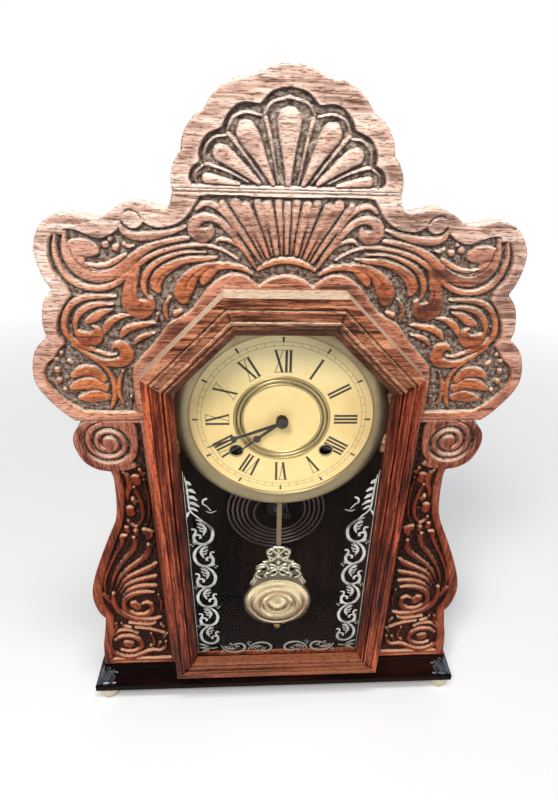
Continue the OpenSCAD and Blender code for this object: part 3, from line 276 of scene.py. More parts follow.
# In these woods the high and lit tones are painted sheen, the second carved tone is a painted highlight of
# the raised parts, and the ground tones are painted shade and reflection
FRONT = wood("front_oak", ((0.07, 0.014, 0.006), (0.34, 0.07, 0.02), (0.6, 0.175, 0.055)), "X", specular=0.3,
             carved=(((0.12, 0.034, 0.02), (0.42, 0.145, 0.085), (0.62, 0.28, 0.18)), (0.62, 0.205, 0.07),
                     ((0.07, 0.036, 0.026), (0.33, 0.27, 0.215)), ((0.17, 0.115, 0.085), (0.44, 0.37, 0.3))),
             high=(0.425, 0.565, ((0.2, 0.1, 0.07), (0.63, 0.4, 0.305), (0.9, 0.74, 0.63)),
                   (0.9, 0.66, 0.54)),
             lit=((0.66, 0.5, 0.38), (0.86, 0.76, 0.66)), arch=(0.09, 0.135, 0.466, 0.492))
STILE = wood("bracket_oak", ((0.024, 0.004, 0.002), (0.15, 0.022, 0.008), (0.4, 0.08, 0.026)), "Z",
             specular=0.1,
             carved=(((0.05, 0.01, 0.004), (0.25, 0.05, 0.018), (0.46, 0.13, 0.048)), (0.27, 0.045, 0.015),
                     ((0.006, 0.003, 0.002), (0.04, 0.015, 0.01)),
                     ((0.02, 0.009, 0.007), (0.22, 0.165, 0.13))),
             high=(0.3, 0.42, ((0.06, 0.016, 0.009), (0.26, 0.072, 0.042), (0.46, 0.18, 0.115)),
                   (0.5, 0.2, 0.13)),
             lit=((0.68, 0.37, 0.23), (0.78, 0.6, 0.47)))
# The door's mouldings: painted shade in their corners and on their steps behind the front
MOULDED = {"specular": 0.12, "groove": 0.0045, "deep": DOOR_Y}
DOOR_X = wood("door_oak_level", ((0.03, 0.007, 0.003), (0.165, 0.036, 0.014), (0.36, 0.105, 0.042)), "X",
              high=(0.36, 0.43, ((0.07, 0.02, 0.01), (0.5, 0.175, 0.085), (0.8, 0.42, 0.24))),
              lit=((0.24, 0.075, 0.03), (0.6, 0.48, 0.35)), **MOULDED)
DOOR_Z = wood("door_oak_upright", ((0.014, 0.002, 0.001), (0.19, 0.028, 0.012), (0.62, 0.14, 0.055)), "Z",
              **MOULDED)
BASE_TONES = (0.003, 0.001, 0.001), (0.007, 0.0016, 0.001), (0.018, 0.004, 0.002)
CASE_TONES = (0.018, 0.006, 0.004), (0.05, 0.016, 0.009), (0.09, 0.032, 0.017)
BASE = wood("base_oak", BASE_TONES, "X", 0.4, 0.03)
BASE_SIDE = wood("base_oak_side", BASE_TONES, "Y", 0.4, 0.03)
CASE = wood("case_pine", CASE_TONES, "Z", 0.5, 0.15)
CASE_TOP = wood("case_pine_level", CASE_TONES, "X", 0.5, 0.15)
# The back board's near-black tones are painted shade of the case's inside, and darken its outside too
BACK = wood("back_pine", ((0.006, 0.003, 0.002), (0.016, 0.006, 0.004), (0.034, 0.013, 0.008)), "Z", 0.6, 0.1)
PINE = wood("raw_pine", ((0.16, 0.08, 0.035), (0.3, 0.17, 0.08), (0.42, 0.26, 0.13)), "Z", 0.7)
BRASS = metal("sheet_brass", (0.66, 0.47, 0.19), (0.36, 0.24, 0.1), 0.28)
WHEEL = metal("wheel_brass", (0.7, 0.52, 0.22), (0.42, 0.29, 0.12), 0.25)
RING = metal("dial_ring_brass", (0.42, 0.325, 0.185), (0.31, 0.235, 0.135), 0.38, 0.1)
PRESSED = metal("pressed_brass", (0.66, 0.5, 0.24), (0.4, 0.3, 0.15), 0.34, 0.1)
BOB = metal("bob_brass", (0.98, 0.8, 0.52), (0.84, 0.62, 0.34), 0.23, 0.03, 0.1, shine=0.92)
BOB_BRACKET = metal("bracket_metal", (0.3, 0.26, 0.18), (0.16, 0.13, 0.08), 0.45, 0.2, 0.4)
FILIGREE = metal("filigree_metal", (0.95, 0.87, 0.7), (0.62, 0.54, 0.39), 0.24, 0.15, 0.3)
ROD = metal("rod_brass", (0.34, 0.24, 0.14), (0.2, 0.14, 0.08), 0.4, 0.2, 0.3, drawn=0.05)
GONG = metal("gong_wire", (0.27, 0.19, 0.18), (0.16, 0.1, 0.1), 0.35, 0.1, 0.2, shine=0.8)
SHADED = metal("shaded_brass", (0.1, 0.07, 0.03), (0.05, 0.035, 0.02), 0.45)
DARK_STEEL = metal("dark_steel", (0.05, 0.048, 0.045), (0.03, 0.028, 0.026), 0.4)
STEEL = metal("grey_steel", (0.42, 0.41, 0.4), (0.25, 0.24, 0.23), 0.32, 0.2, 0.25)
BLUED = metal("blued_steel", (0.13, 0.14, 0.2), (0.22, 0.16, 0.12), 0.28, 0.15, 0.2)
PEWTER = metal("corner_pewter", (0.2, 0.22, 0.26), (0.05, 0.05, 0.055), 0.3, 0.15, 0.2)
IRON = lacquer("iron_paint", (0.01, 0.01, 0.011), (0.035, 0.03, 0.028), 0.45)
HANDS = lacquer("hand_black", (0.018, 0.009, 0.006), (0.08, 0.042, 0.026), 0.36, 300)
CREAM = lacquer("foot_cream", (0.58, 0.49, 0.36), (0.34, 0.26, 0.17), 0.42, 90, 0.6)
INK = lacquer("dial_ink", (0.022, 0.016, 0.01), (0.12, 0.085, 0.045), 0.55, 700, 0.5)


def paper():
    """The dial's aged paper: yellow, warm round the centre, paler at the top as painted light against the
    door frame's shade, with stains and specks.
    """
    n = Nodes("dial_paper")
    where = n.object()
    cloud, fine = n.noise(where, 26, 5, 0.62, 0.5), n.noise(where, 420, 3, 0.6)
    z = n.math("SUBTRACT", n.axis("Z"), DIAL_Z)
    r = n.distance(n.axis("X"), z)
    base = n.ramp(cloud, [(0.3, (0.74, 0.505, 0.2)), (0.52, (0.79, 0.585, 0.265)), (0.72, (0.76, 0.51, 0.2))])
    base = n.stain(base, (0.76, 0.47, 0.18), 0.5, n.span(r, 0.04, 0.02), n.span(cloud, 0.46, 0.6))
    # Painted light: paler towards the top, where the door frame shades the dial
    base = n.mix(n.span(z, 0.02, 0.065, 0.0, 0.8), base, (0.97, 0.79, 0.43))
    base = n.stain(base, (0.62, 0.38, 0.14), 0.6, n.span(r, 0.014, 0.006), n.span(cloud, 0.35, 0.6))
    base = n.stain(base, (0.7, 0.52, 0.26), 0.45, n.span(r, 0.064, 0.0755), n.span(cloud, 0.62, 0.4))
    base = n.stain(base, (0.45, 0.26, 0.1), 0.35, n.span(n.noise(where, 900, 2, 0.5), 0.7, 0.78))
    return n.surface(base, n.span(fine, 0.3, 0.7, 0.5, 0.62), Normal=n.bump(fine, 0.05, 0.0002), specular=0.3)


def silver():
    """Silver print on the glass, duller towards the bottom."""
    n = Nodes("stencil_silver")
    cloud = n.noise(n.object(), 260, 4, 0.6)
    base = n.mix(n.span(cloud, 0.42, 0.7), (0.5, 0.485, 0.45), (0.27, 0.25, 0.215))
    base = n.mix(n.span(n.axis("Z"), 0.115, 0.08, 0.0, 0.75), base, (0.12, 0.105, 0.085))
    return n.surface(base, n.span(cloud, 0.3, 0.7, 0.4, 0.55), specular=0.3)


def glass():
    n = Nodes("door_glass")
    cloud = n.noise(n.object(), 14, 3, 0.5)
    tint = n.mix(n.span(cloud, 0.3, 0.7), (0.96, 0.98, 0.98), (0.93, 0.96, 0.96))
    return n.surface(tint, 0.02, specular=0.5, Transmission_Weight=1.0, IOR=1.09)


for material, nodes in (
    (STILE, "stile_left stile_right"), (FRONT, "upper_panel crest"), (BASE, "base_front bottom_board"),
    (DOOR_X, "door_bottom_rail door_top_rail door_corner_rails"), (DOOR_Z, "door_side_rails glass_stops"),
    (BASE_SIDE, "base_sides"), (CASE, "side_boards"), (BACK, "back_board"), (CASE_TOP, "top_board"),
    (PINE, "glue_blocks"), (CREAM, "feet"), (paper(), "dial_plate"), (RING, "dial_ring dial_screws"),
    (HANDS, "hour_hand minute_hand hand_nut"), (glass(), "door_glass"),
    (IRON, "gong_block"), (GONG, "gong_coil"), (BLUED, "mainsprings"), (SHADED, "front_plate"),
    (DARK_STEEL, "winding_arbor_time winding_arbor_strike"),
    (BRASS, "back_plate pillar_nuts movement_feet suspension_post case_hinges door_hinges"),
    (WHEEL, "great_wheel_time second_wheel centre_wheel third_wheel escape_wheel minute_wheel hour_wheel"),
    (WHEEL, "great_wheel_strike pin_wheel cam_wheel warning_wheel fly count_wheel rating_nut"),
    (STEEL, "plate_pillars case_screws click_time verge click_strike hammer suspension_spring"),
    (ROD, "pendulum_rod"), (BOB, "bob"), (BOB_BRACKET, "bob_bracket"),
):
    for node in nodes.split():
        for slot in NODES[node].material_slots:
            slot.material = material
NODES["door_glass"].visible_shadow = False


# Meshes
def make(name, verts, faces, material, body, crease=None):
    """A mesh on a body, with flat faces, or smooth ones but for edges past the crease's angle in degrees."""
    mesh = bpy.data.meshes.new(name)
    mesh.from_pydata([tuple(v) for v in verts], [], [tuple(f) for f in faces])
    mesh.validate()
    mesh.update()
    if crease:
        mesh.shade_smooth()
        mesh.set_sharp_from_angle(angle=math.radians(crease))
    mesh.materials.append(material)
    obj = bpy.data.objects.new(name, mesh)
    bpy.context.scene.collection.objects.link(obj)
    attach(obj, body)
    return obj


def spline(points, n=6):
    """A smooth line through the points, whose extra numbers, such as radii, are smoothed with them."""
    p = np.array(points, float)
    if len(p) < 3:
        t = np.linspace(0, 1, n + 1)[:, None]
        return p[:1] * (1 - t) + p[-1:] * t
    q = np.vstack([2 * p[0] - p[1], p, 2 * p[-1] - p[-2]])
    out = []
    for a, b, c, d in zip(q, q[1:], q[2:], q[3:]):
        for t in (k / n for k in range(n)):
            out.append(0.5 * (2 * b + (c - a) * t + (2 * a - 5 * b + 4 * c - d) * t * t
                              + (3 * b - 3 * c + d - a) * t ** 3))
    return np.array(out + [p[-1]])


def runs(*parts, n=4):
    """Smooth lines one after another, with a corner wherever one begins."""
    points = [tuple(p) for part in parts for p in spline(part, n)]
    return [p for p, before in zip(points, [None] + points) if p != before]


def bow(a, b, rise, n=8):
    """An arc from a to b that stands so far off the straight line between them."""
    a, b = np.array(a, float), np.array(b, float)
    half = np.linalg.norm(b - a) / 2
    r = (half * half + rise * rise) / (2 * rise)
    u = (b - a) / (2 * half)
    centre = (a + b) / 2 - (r - rise) * np.array([-u[1], u[0]])
    reach, top = math.asin(half / r), math.atan2(u[0], -u[1])
    turns = (top + reach - 2 * reach * i / n for i in range(n + 1))
    return [tuple(centre + r * np.array([math.cos(t), math.sin(t)])) for t in turns]


def turned(left):
    """The right half of an outline, from its left half."""
    return [(-x, z) for x, z in left][::-1]


def inside(px, pz, poly):
    """Which points lie in the polygon."""
    hit = np.zeros(px.shape, bool)
    for (x0, z0), (x1, z1) in zip(poly, np.roll(poly, -1, axis=0)):
        if z0 != z1:
            hit ^= ((z0 > pz) != (z1 > pz)) & (px < (x1 - x0) * (pz - z0) / (z1 - z0) + x0)
    return hit


def heading(line):
    """The unit direction at each point of a line."""
    d = np.gradient(line[:, :2], axis=0)
    return d / np.maximum(np.linalg.norm(d, axis=1, keepdims=True), 1e-9)


def blur(grid, n):
    """A box blur by n cells each way, twice."""
    k = 2 * n + 1
    for axis in (0, 1, 0, 1):
        pad = [(0, 0), (0, 0)]
        pad[axis] = (n + 1, n)
        c = np.cumsum(np.pad(grid, pad, mode="edge"), axis=axis)
        grid = (c[k:] - c[:-k]) / k if axis == 0 else (c[:, k:] - c[:, :-k]) / k
    return grid


def eased(s):
    """A step from 0 to 1 with soft ends."""
    s = np.clip(s, 0, 1)
    return s * s * (3 - 2 * s)


# Depth of the boards' sunk ground, and the least half width of a stroke, in millimetres
GROUND, LEAST = 2.7, 0.4


class Relief:
    """Heights over a grid of the front plane, in millimetres, 0 at the boards' face, less in the hollows."""

    def __init__(self, x0, x1, z0, z1, step):
        self.step = step
        self.x, self.z = np.arange(x0, x1 + step, step), np.arange(z0, z1 + step, step)
        self.X, self.Z = np.meshgrid(self.x, self.z)
        self.H, self.rim = np.zeros(self.X.shape), np.ones(self.X.shape)

    def part(self, pts, reach):
        """The part of the grid within reach of a line."""
        lo, hi = pts[:, :2].min(0) - reach, pts[:, :2].max(0) + reach
        i0, i1 = np.searchsorted(self.x, (lo[0], hi[0]))
        k0, k1 = np.searchsorted(self.z, (lo[1], hi[1]))
        return slice(max(k0 - 1, 0), k1 + 1), slice(max(i0 - 1, 0), i1 + 1)

    def off(self, where, pts, closed=False):
        """How far a part's points lie from a line of (x, z, r): in radii, in millimetres, and the radius."""
        X, Z = self.X[where], self.Z[where]
        if pts.shape[1] == 2:
            pts = np.hstack([pts, np.ones((len(pts), 1))])
        if closed:
            pts = np.vstack([pts, pts[:1]])
        best, dist, rad = np.full(X.shape, np.inf), np.zeros(X.shape), np.ones(X.shape)
        for a, b in zip(pts, pts[1:]):
            d = b[:2] - a[:2]
            u = np.clip(((X - a[0]) * d[0] + (Z - a[1]) * d[1]) / max(float(d @ d), 1e-9), 0, 1)
            r = a[2] + (b[2] - a[2]) * u
            e = np.hypot(X - a[0] - u * d[0], Z - a[1] - u * d[1])
            near = e / r < best
            best, dist, rad = np.where(near, e / r, best), np.where(near, e, dist), np.where(near, r, rad)
        return best, dist, rad

    def sink(self, edge, depth=GROUND, wall=1.4):
        """Lowers what is inside the edge to the ground, down a slope as wide as wall."""
        pts = np.array(edge)
        where = self.part(pts, 2)
        dist = self.off(where, pts, True)[1]
        ins, H = inside(self.X[where], self.Z[where], pts), self.H[where]
        self.H[where] = np.where(ins, np.minimum(H, -depth * eased(dist / wall)), H)
        self.rim[where] = np.where(ins, 0.0, self.rim[where])

    def raised(self, pts, top=-0.15, crown=1.1, wall=0.9):
        """A rounded leaf, ribbon or ball that stands on the ground, along a line of (x, z, r)."""
        line = spline(pts)
        line[:, 2] = np.maximum(line[:, 2], LEAST)
        where = self.part(line, line[:, 2].max() + 1)
        t, dist, r = self.off(where, line)
        side = eased((r - dist) / np.minimum(wall, r * 0.8))
        ground = self.H[where]
        # Thin strokes stay lower than broad ones
        crest = top - crown * np.clip(t, 0, 1) ** 2.2 - 0.35 * (1 - np.clip(r / 2.4, 0, 1))
        self.H[where] = np.where(t < 1, np.maximum(ground, ground + (crest - ground) * side), ground)

    def groove(self, depth, wide, pts):
        """A cut along a line of (x, z), shallower and narrower towards both ends."""
        line = spline(pts)
        s = np.linspace(0, 1, len(line))
        width = wide * np.clip(np.minimum(s, 1 - s) * 6 + 0.45, 0, 1)
        line = np.hstack([line, width[:, None]])
        where = self.part(line, wide + 1)
        t, _, r = self.off(where, line)
        self.H[where] -= depth * np.clip(1 - t, 0, 1) ** 0.8 * np.clip(r / wide, 0, 1)

    def lumps(self, seed, high):
        """Roughens the ground between the leaves with small punched lumps."""
        n = self.soft(np.random.default_rng(seed).standard_normal(self.H.shape), 0.9)
        ground = np.clip((-self.H - 1.4) / 0.5, 0, 1)
        self.H += ground * np.clip(n / (n.std() + 1e-9), -1.2, 1.6) * high

    def both(self, call, *values, **named):
        """The same stroke on the left and mirrored on the right; its points come last."""
        *values, pts = values
        call(*values, pts, **named)
        call(*values, [(-p[0], *p[1:]) for p in pts], **named)

    def soft(self, grid, reach):
        """A grid blurred by a reach in millimetres."""
        return blur(grid, max(1, round(reach / self.step)))

    def mirror(self):
        self.x, self.X = -self.x[::-1], -self.X[:, ::-1]
        self.H, self.rim = self.H[:, ::-1], self.rim[:, ::-1]


def carved(name, relief, outline, material, node):
    """The board: the relief cut off at its outline, with square sides and a flat back."""
    poly = np.array(outline, float)
    off = relief.off((slice(None), slice(None)), poly, True)[1]
    margin = np.where(inside(relief.X, relief.Z, poly), off, -off)
    # The outer edge is a little rounded
    H = relief.H - 0.9 * np.clip(1 - margin / 1.6, 0, 1) ** 2
    # Masks for the shader: depth of the hollows, the raised ridges that get a painted highlight, the foot of
    # each raised edge that gets painted shade, and the uncarved rim
    maps = {"hollow": blur(np.clip(-H - 1.0, 0, 1), 1),
            "proud": np.clip((H - relief.soft(H, 2.2)) / 0.7, 0, 1) ** 1.3,
            "edge": np.clip((relief.soft(H, 1.1) - H) / 0.55, 0, 1),
            "rim": blur(relief.rim, 2)}
    columns = [relief.X, H, relief.Z] + [np.clip(g, 0, 1) for g in maps.values()]
    grid = np.stack(columns, -1).reshape(H.size, -1)
    margin = margin.ravel()
    at = np.arange(H.size).reshape(H.shape)
    quads = np.stack([at[:-1, :-1], at[:-1, 1:], at[1:, 1:], at[1:, :-1]], -1).reshape(-1, 4)
    within = (margin[quads] > 0).sum(1)
    rows, seen, faces = [], {}, []

    def point(key, values):
        if key not in seen:
            seen[key] = len(rows)
            rows.append(values)
        return seen[key]

    for quad in quads[within == 4]:
        faces.append([point(int(a), grid[a]) for a in quad])
    # A square that the outline crosses is cut off there
    for quad in quads[(within > 0) & (within < 4)]:
        ring = []
        for a, b in zip(quad, np.roll(quad, -1)):
            if margin[a] > 0:
                ring.append(point(int(a), grid[a]))
            if (margin[a] > 0) != (margin[b] > 0):
                f = margin[a] / (margin[a] - margin[b])
                ring.append(point((int(min(a, b)), int(max(a, b))), grid[a] * (1 - f) + grid[b] * f))
        faces.append(ring)
    sides = dict.fromkeys(side for face in faces for side in zip(face, face[1:] + face[:1]))
    edge = {a: b for a, b in sides if (b, a) not in sides}
    back = {a: len(rows) + i for i, a in enumerate(edge)}
    rows += [[rows[a][0], -BOARD_THICK, rows[a][2]] + [0] * len(maps) for a in back]
    faces += [[b, a, back[a], back[b]] for a, b in edge.items()]
    a = start = next(iter(edge))
    loop = [back[a]]
    while edge[a] != start:
        a = edge[a]
        loop.append(back[a])
    faces.append(loop[::-1])
    x, y, z, *marks = np.array(rows).T
    verts = np.stack([x * MM, FACE_Y - y * MM, (z + DRAWN_Z) * MM], -1)
    obj = make(name, verts, faces, material, "case", crease=50)
    for label, data in zip(maps, marks):
        layer = obj.data.attributes.new(label, "FLOAT", "POINT")
        layer.data.foreach_set("value", np.ascontiguousarray(data, np.float32))
    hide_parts(node)


# Outlines of the boards, from each board's foot: left halves of upper board and crest, and the left bracket
PANEL_LEFT = runs(
    [(-73, 169.5), (-75.8, 161), (-81, 159.1), (-97, 162.6), (-110, 158.8), (-122, 151.8), (-142, 155),
     (-156, 150.2), (-164.5, 137.5), (-166, 128), (-163.8, 114.5), (-159.5, 105)],
    [(-159.5, 105), (-167, 94.7), (-170.4, 79), (-169.2, 70.3)],
    [(-169.2, 70.3), (-180, 58.6), (-185, 39), (-181.4, 24.7), (-170, 8.5), (-161.3, 0)],
) + [(-93, 0), (-93, 31.5), (-40, 84.5)]
BRACKET_OUTLINE = runs(
    [(-154, 303), (-163.5, 293), (-166.3, 280.5), (-161.5, 264.5), (-152, 256), (-141, 253.4)],
    [(-141, 253.4), (-139.6, 245), (-141, 220), (-145, 198), (-157.6, 169), (-169.8, 139), (-177.3, 114),
     (-178.6, 96), (-175.5, 80), (-171, 72)],
    [(-171, 72), (-174.5, 52), (-179, 29), (-181.5, 0)],
) + [(-93, 0), (-93, 303)]
CREST_LEFT = (bow((-73, 0), (-66, 23.5), 3.2) + bow((-66, 23.5), (-50.5, 46.5), 4)[1:]
              + bow((-50.5, 46.5), (-21.5, 64), 5)[1:])
CREST_TOP = bow((-21.5, 64), (21.5, 64), 6.5)[1:-1]

# Carving of the upper board: the left half's lines as (across, height, radius), in drawn millimetres
PANEL_EDGE = runs([(0, 491.5), (-30, 492), (-52, 492)], n=3) + runs(
    [(-57, 491), (-61, 484.5), (-66, 478), (-73, 473.5), (-82, 471.5), (-89, 472.5), (-93.5, 475.5)],
    [(-95, 472.5), (-99, 470.5), (-104, 472), (-107, 476.5)],
    [(-110.5, 469.5), (-116, 466), (-123, 464), (-131, 466.5), (-138, 469.3), (-145, 469.5)],
    [(-146, 466), (-152, 466), (-156, 460), (-157.5, 450), (-155.5, 440), (-149.5, 430.5)],
    [(-147.5, 425), (-152, 420), (-157.5, 412), (-161, 403), (-161.5, 396), (-158, 389)],
    [(-158, 389), (-163, 384.5), (-167.5, 378), (-173, 373.5), (-176.5, 367), (-176.5, 359), (-173, 351),
     (-167, 343), (-160, 336.5), (-152, 331.5)],
) + [(-112.5, 330.5)] + runs(
    [(-112.5, 358), (-111, 369), (-106, 376), (-100, 382.5), (-95, 388), (-90, 394), (-86, 399.5), (-81, 405),
     (-74, 409), (-67, 413.5), (-61, 420.5), (-55.5, 428), (-50, 433.5), (-45, 437.5)],
    [(-45, 437.5), (-38, 440.5), (-30, 440), (-24, 436.5), (-19, 431.5)],
    [(-19, 431.5), (-14, 435.5), (-8, 438.5), (0, 440)],
)
PANEL_RAISED = [
    # The ear's outer ribbon, which sweeps under the leaf and up to the middle
    [(-150.5, 465, 1.6), (-152.5, 456, 2.2), (-151.5, 446, 2.6), (-146.5, 436.5, 2.8), (-138, 431, 2.8),
     (-127, 429.8, 2.7), (-116.5, 433, 2.6), (-107, 440, 2.5), (-98, 447.5, 2.4), (-88, 453.5, 2.2),
     (-76, 457.5, 2), (-64, 459.7, 1.8), (-52, 459.7, 1.6), (-42, 456.5, 1.5), (-33, 451, 1.1)],
    # The ear's leaf
    [(-144, 467, 1.8), (-145.5, 458, 3), (-143, 449, 5), (-137, 442, 5.8), (-127.5, 438.2, 5.2),
     (-116.5, 440.5, 4.6), (-106.5, 447, 4), (-97.5, 454.3, 3.4), (-87.5, 459.5, 2.8), (-76, 462.7, 2.4),
     (-65, 464.4, 1.8)],
    [(-141.5, 458.5, 3.6), (-137.5, 456.7, 6.4), (-132, 456.6, 6.4), (-127.4, 455.8, 4.4)],
    [(-141, 451.2, 3.4), (-137, 448.4, 3.8)],
    [(-133.5, 446.6, 1.3), (-127.5, 445.2, 1.8), (-120, 446, 2.2), (-112.5, 449.4, 2.4), (-107, 453, 1.6)],
    [(-119.4, 459.2, 2.7), (-119, 459.2, 2.7)], [(-113, 457.2, 2.7), (-112.6, 457.2, 2.7)],
    [(-116, 463, 2), (-115.6, 463, 2)], [(-107, 459.8, 1.9), (-104, 458, 1.6), (-101, 459, 1.2)],
    [(-108.5, 474, 1.4), (-105.5, 467.3, 2.8), (-97, 464.8, 3.4), (-86, 465.8, 3.2), (-75, 468.5, 2.4),
     (-66.5, 471.5, 1.4)],
    # Acanthus leaves below the long scroll
    [(-47, 452, 1.2), (-55, 451, 2.4), (-66, 450, 3), (-77, 446, 3.6), (-85.5, 440, 4.2), (-89.3, 433, 4.4),
     (-88, 428.5, 2.6)],
    [(-45, 448.5, 1.2), (-55, 446, 3), (-63, 440.5, 4.6), (-68.5, 433, 6.6), (-71.5, 427, 6.4),
     (-71, 422.5, 4.2)],
    [(-38, 448.5, 1.2), (-45, 446.5, 2.2), (-51, 442, 3.4), (-55.5, 437.7, 3.8), (-57.2, 434.3, 2.2)],
    [(-54, 455.2, 1), (-68, 455.2, 1.6), (-80, 451.6, 2.1), (-90, 445.7, 2.5), (-96.2, 437.5, 2.7),
     (-97.3, 429.5, 2.3), (-95.6, 424.5, 1.4)],
    [(-100.5, 444, 2.6), (-104.5, 436, 4.4), (-107.3, 427, 5.6), (-107, 418.5, 7), (-101, 415, 7.6),
     (-95.5, 417.5, 5), (-93.2, 421.5, 2.6), (-95, 424, 1.4)],
    [(-77.5, 411.8, 2.6), (-73.5, 413.8, 2.2)],
    [(-83, 407.5, 1.4), (-84.5, 413.5, 2.1), (-83, 419.5, 1.9), (-80, 424, 1.3)],
    # The middle scroll of the side lobe
    [(-117, 424.3, 1.3), (-127, 424, 2.2), (-138, 423, 2.6), (-148, 418, 2.7), (-154.3, 408.5, 2.7),
     (-155.7, 398.5, 2.7), (-151.5, 391, 2.7), (-145, 386.6, 2.6), (-138, 384.6, 1.8)],
    [(-120, 418.6, 1.3), (-129, 418.4, 2.4), (-137.5, 416.2, 2.9), (-144, 411.3, 2.8), (-148, 404.5, 2.4),
     (-148, 399, 1.4)],
    [(-147.8, 397.5, 2.6), (-143.3, 393, 5.4), (-138, 392.3, 6), (-133.7, 395.3, 4.8), (-133.3, 399.8, 2.6),
     (-136, 402.5, 1.4)],
    [(-121, 414.5, 1.3), (-128, 412.3, 3), (-134, 408.4, 3.8), (-139.5, 405.5, 2.4)],
    [(-109, 410.5, 1.2), (-116, 409.2, 2.2), (-122.5, 405.8, 3.2), (-127, 401, 3), (-128.5, 397, 1.6)],
    [(-91, 405.5, 1.2), (-99, 403.7, 2.4), (-107, 402, 3), (-114, 398.5, 3), (-117.5, 394, 1.8)],
    [(-93, 397.5, 1.1), (-99.5, 395.3, 2.3), (-105.5, 392.3, 2.3), (-108.5, 388.7, 1.3)],
    [(-90, 411.5, 1.2), (-91, 407.5, 1.6)],
    # The lower ball scroll
    [(-154, 392.5, 1), (-149, 385.5, 1.8), (-142, 379.5, 2.5), (-134, 374.8, 3), (-125, 373.3, 4),
     (-117.5, 375.6, 5.2), (-114.8, 381, 5.4), (-117, 386.4, 4.8), (-121.8, 387.6, 2.8),
     (-125, 384.8, 1.4)],
    [(-143, 384.2, 1), (-135.5, 382.6, 1.7), (-128, 379.8, 1.8), (-122.5, 380.6, 1.2)],
    # The hanging leaf with its stem, and the lumps at its side
    [(-152.7, 387.5, 1.2), (-140.4, 377.7, 1.6), (-131.5, 369, 2), (-127.7, 358.6, 2.3),
     (-127.9, 347.9, 2.6), (-130.4, 339, 2.1), (-132.5, 334.8, 1.4)],
    [(-156.5, 362.5, 2.6), (-149.5, 366.4, 4.6), (-141, 366, 5.2), (-135.4, 360.5, 4.2)],
    [(-159.2, 352.4, 2.4), (-151, 355.6, 5.2), (-142, 356.5, 6.2), (-135.2, 352.5, 4.4)],
    [(-154.5, 343.8, 2.2), (-147.5, 344.4, 4.8), (-139.5, 346, 5.6), (-134.6, 344.4, 3.6)],
    [(-166, 376.2, 2.2), (-165.6, 375.8, 2.2)], [(-161.6, 381.6, 2), (-161.2, 381.2, 2)],
    [(-157.4, 374.8, 2), (-155, 373.4, 1.8)], [(-167, 367.6, 2.6), (-167, 367, 2.6)],
    [(-167.2, 359, 2.6), (-167.2, 358.4, 2.6)], [(-164.2, 351.2, 2.2), (-163.8, 350.8, 2.2)],
    [(-119.5, 367, 1.2), (-123.4, 357, 2.2), (-124.5, 347, 2.2), (-122.3, 338.5, 1.3)],
    [(-116.3, 345, 1.2), (-117.2, 338, 1.4)],
    # The volute beside the fan
    [(-21, 445.5, 1.4), (-25.5, 453, 2.1), (-31.5, 461.5, 2.6), (-38, 469.8, 2.9), (-45.3, 476, 2.9),
     (-53, 477.8, 3.2), (-59.7, 474.7, 4.2), (-60.3, 468.8, 5), (-54.7, 466.3, 5), (-50, 469, 3.2),
     (-49.7, 472.2, 1.4)],
    [(-33, 467.5, 1), (-38.3, 477, 1.8), (-45.5, 484.3, 2.3), (-53, 486.3, 2.3), (-58.7, 482.6, 1.6)],
    [(-30, 458, 0.9), (-37, 462.7, 1.8), (-44, 464, 1.7), (-47.3, 461.8, 1)],
    # The fan and the scallops at its foot
    [(-6.6, 455, 2), (-8.6, 467, 2.9), (-11.6, 479, 3.8), (-13, 485.5, 4)],
    [(-12.5, 452.5, 1.7), (-17.5, 464.5, 2.8), (-23.6, 476.5, 3.8), (-27, 484, 4.2)],
    [(-17.3, 449, 1.4), (-24.5, 460.5, 2.2), (-33.5, 473.5, 2.5), (-42, 486.4, 2.6)],
    [(-46.5, 444.6, 1.4), (-40.5, 446, 2.3), (-33.5, 446, 2.5), (-27, 443.5, 2.1), (-22.8, 440.8, 1.2)],
    [(-19.5, 443.8, 1.5), (-13.5, 447.5, 2.5), (-6, 450, 2.8), (0, 450.6, 2.8)],
]
PANEL_RIBS = [
    [(-3.2, 455, 0.9), (-4.2, 470, 1.9), (-6, 487.5, 2.9)],
    [(-9.6, 453.5, 0.9), (-13.4, 467, 1.8), (-19.2, 487.2, 3)],
    [(-15, 451, 0.9), (-21.3, 463.5, 1.7), (-33.4, 486.4, 3.9)],
]
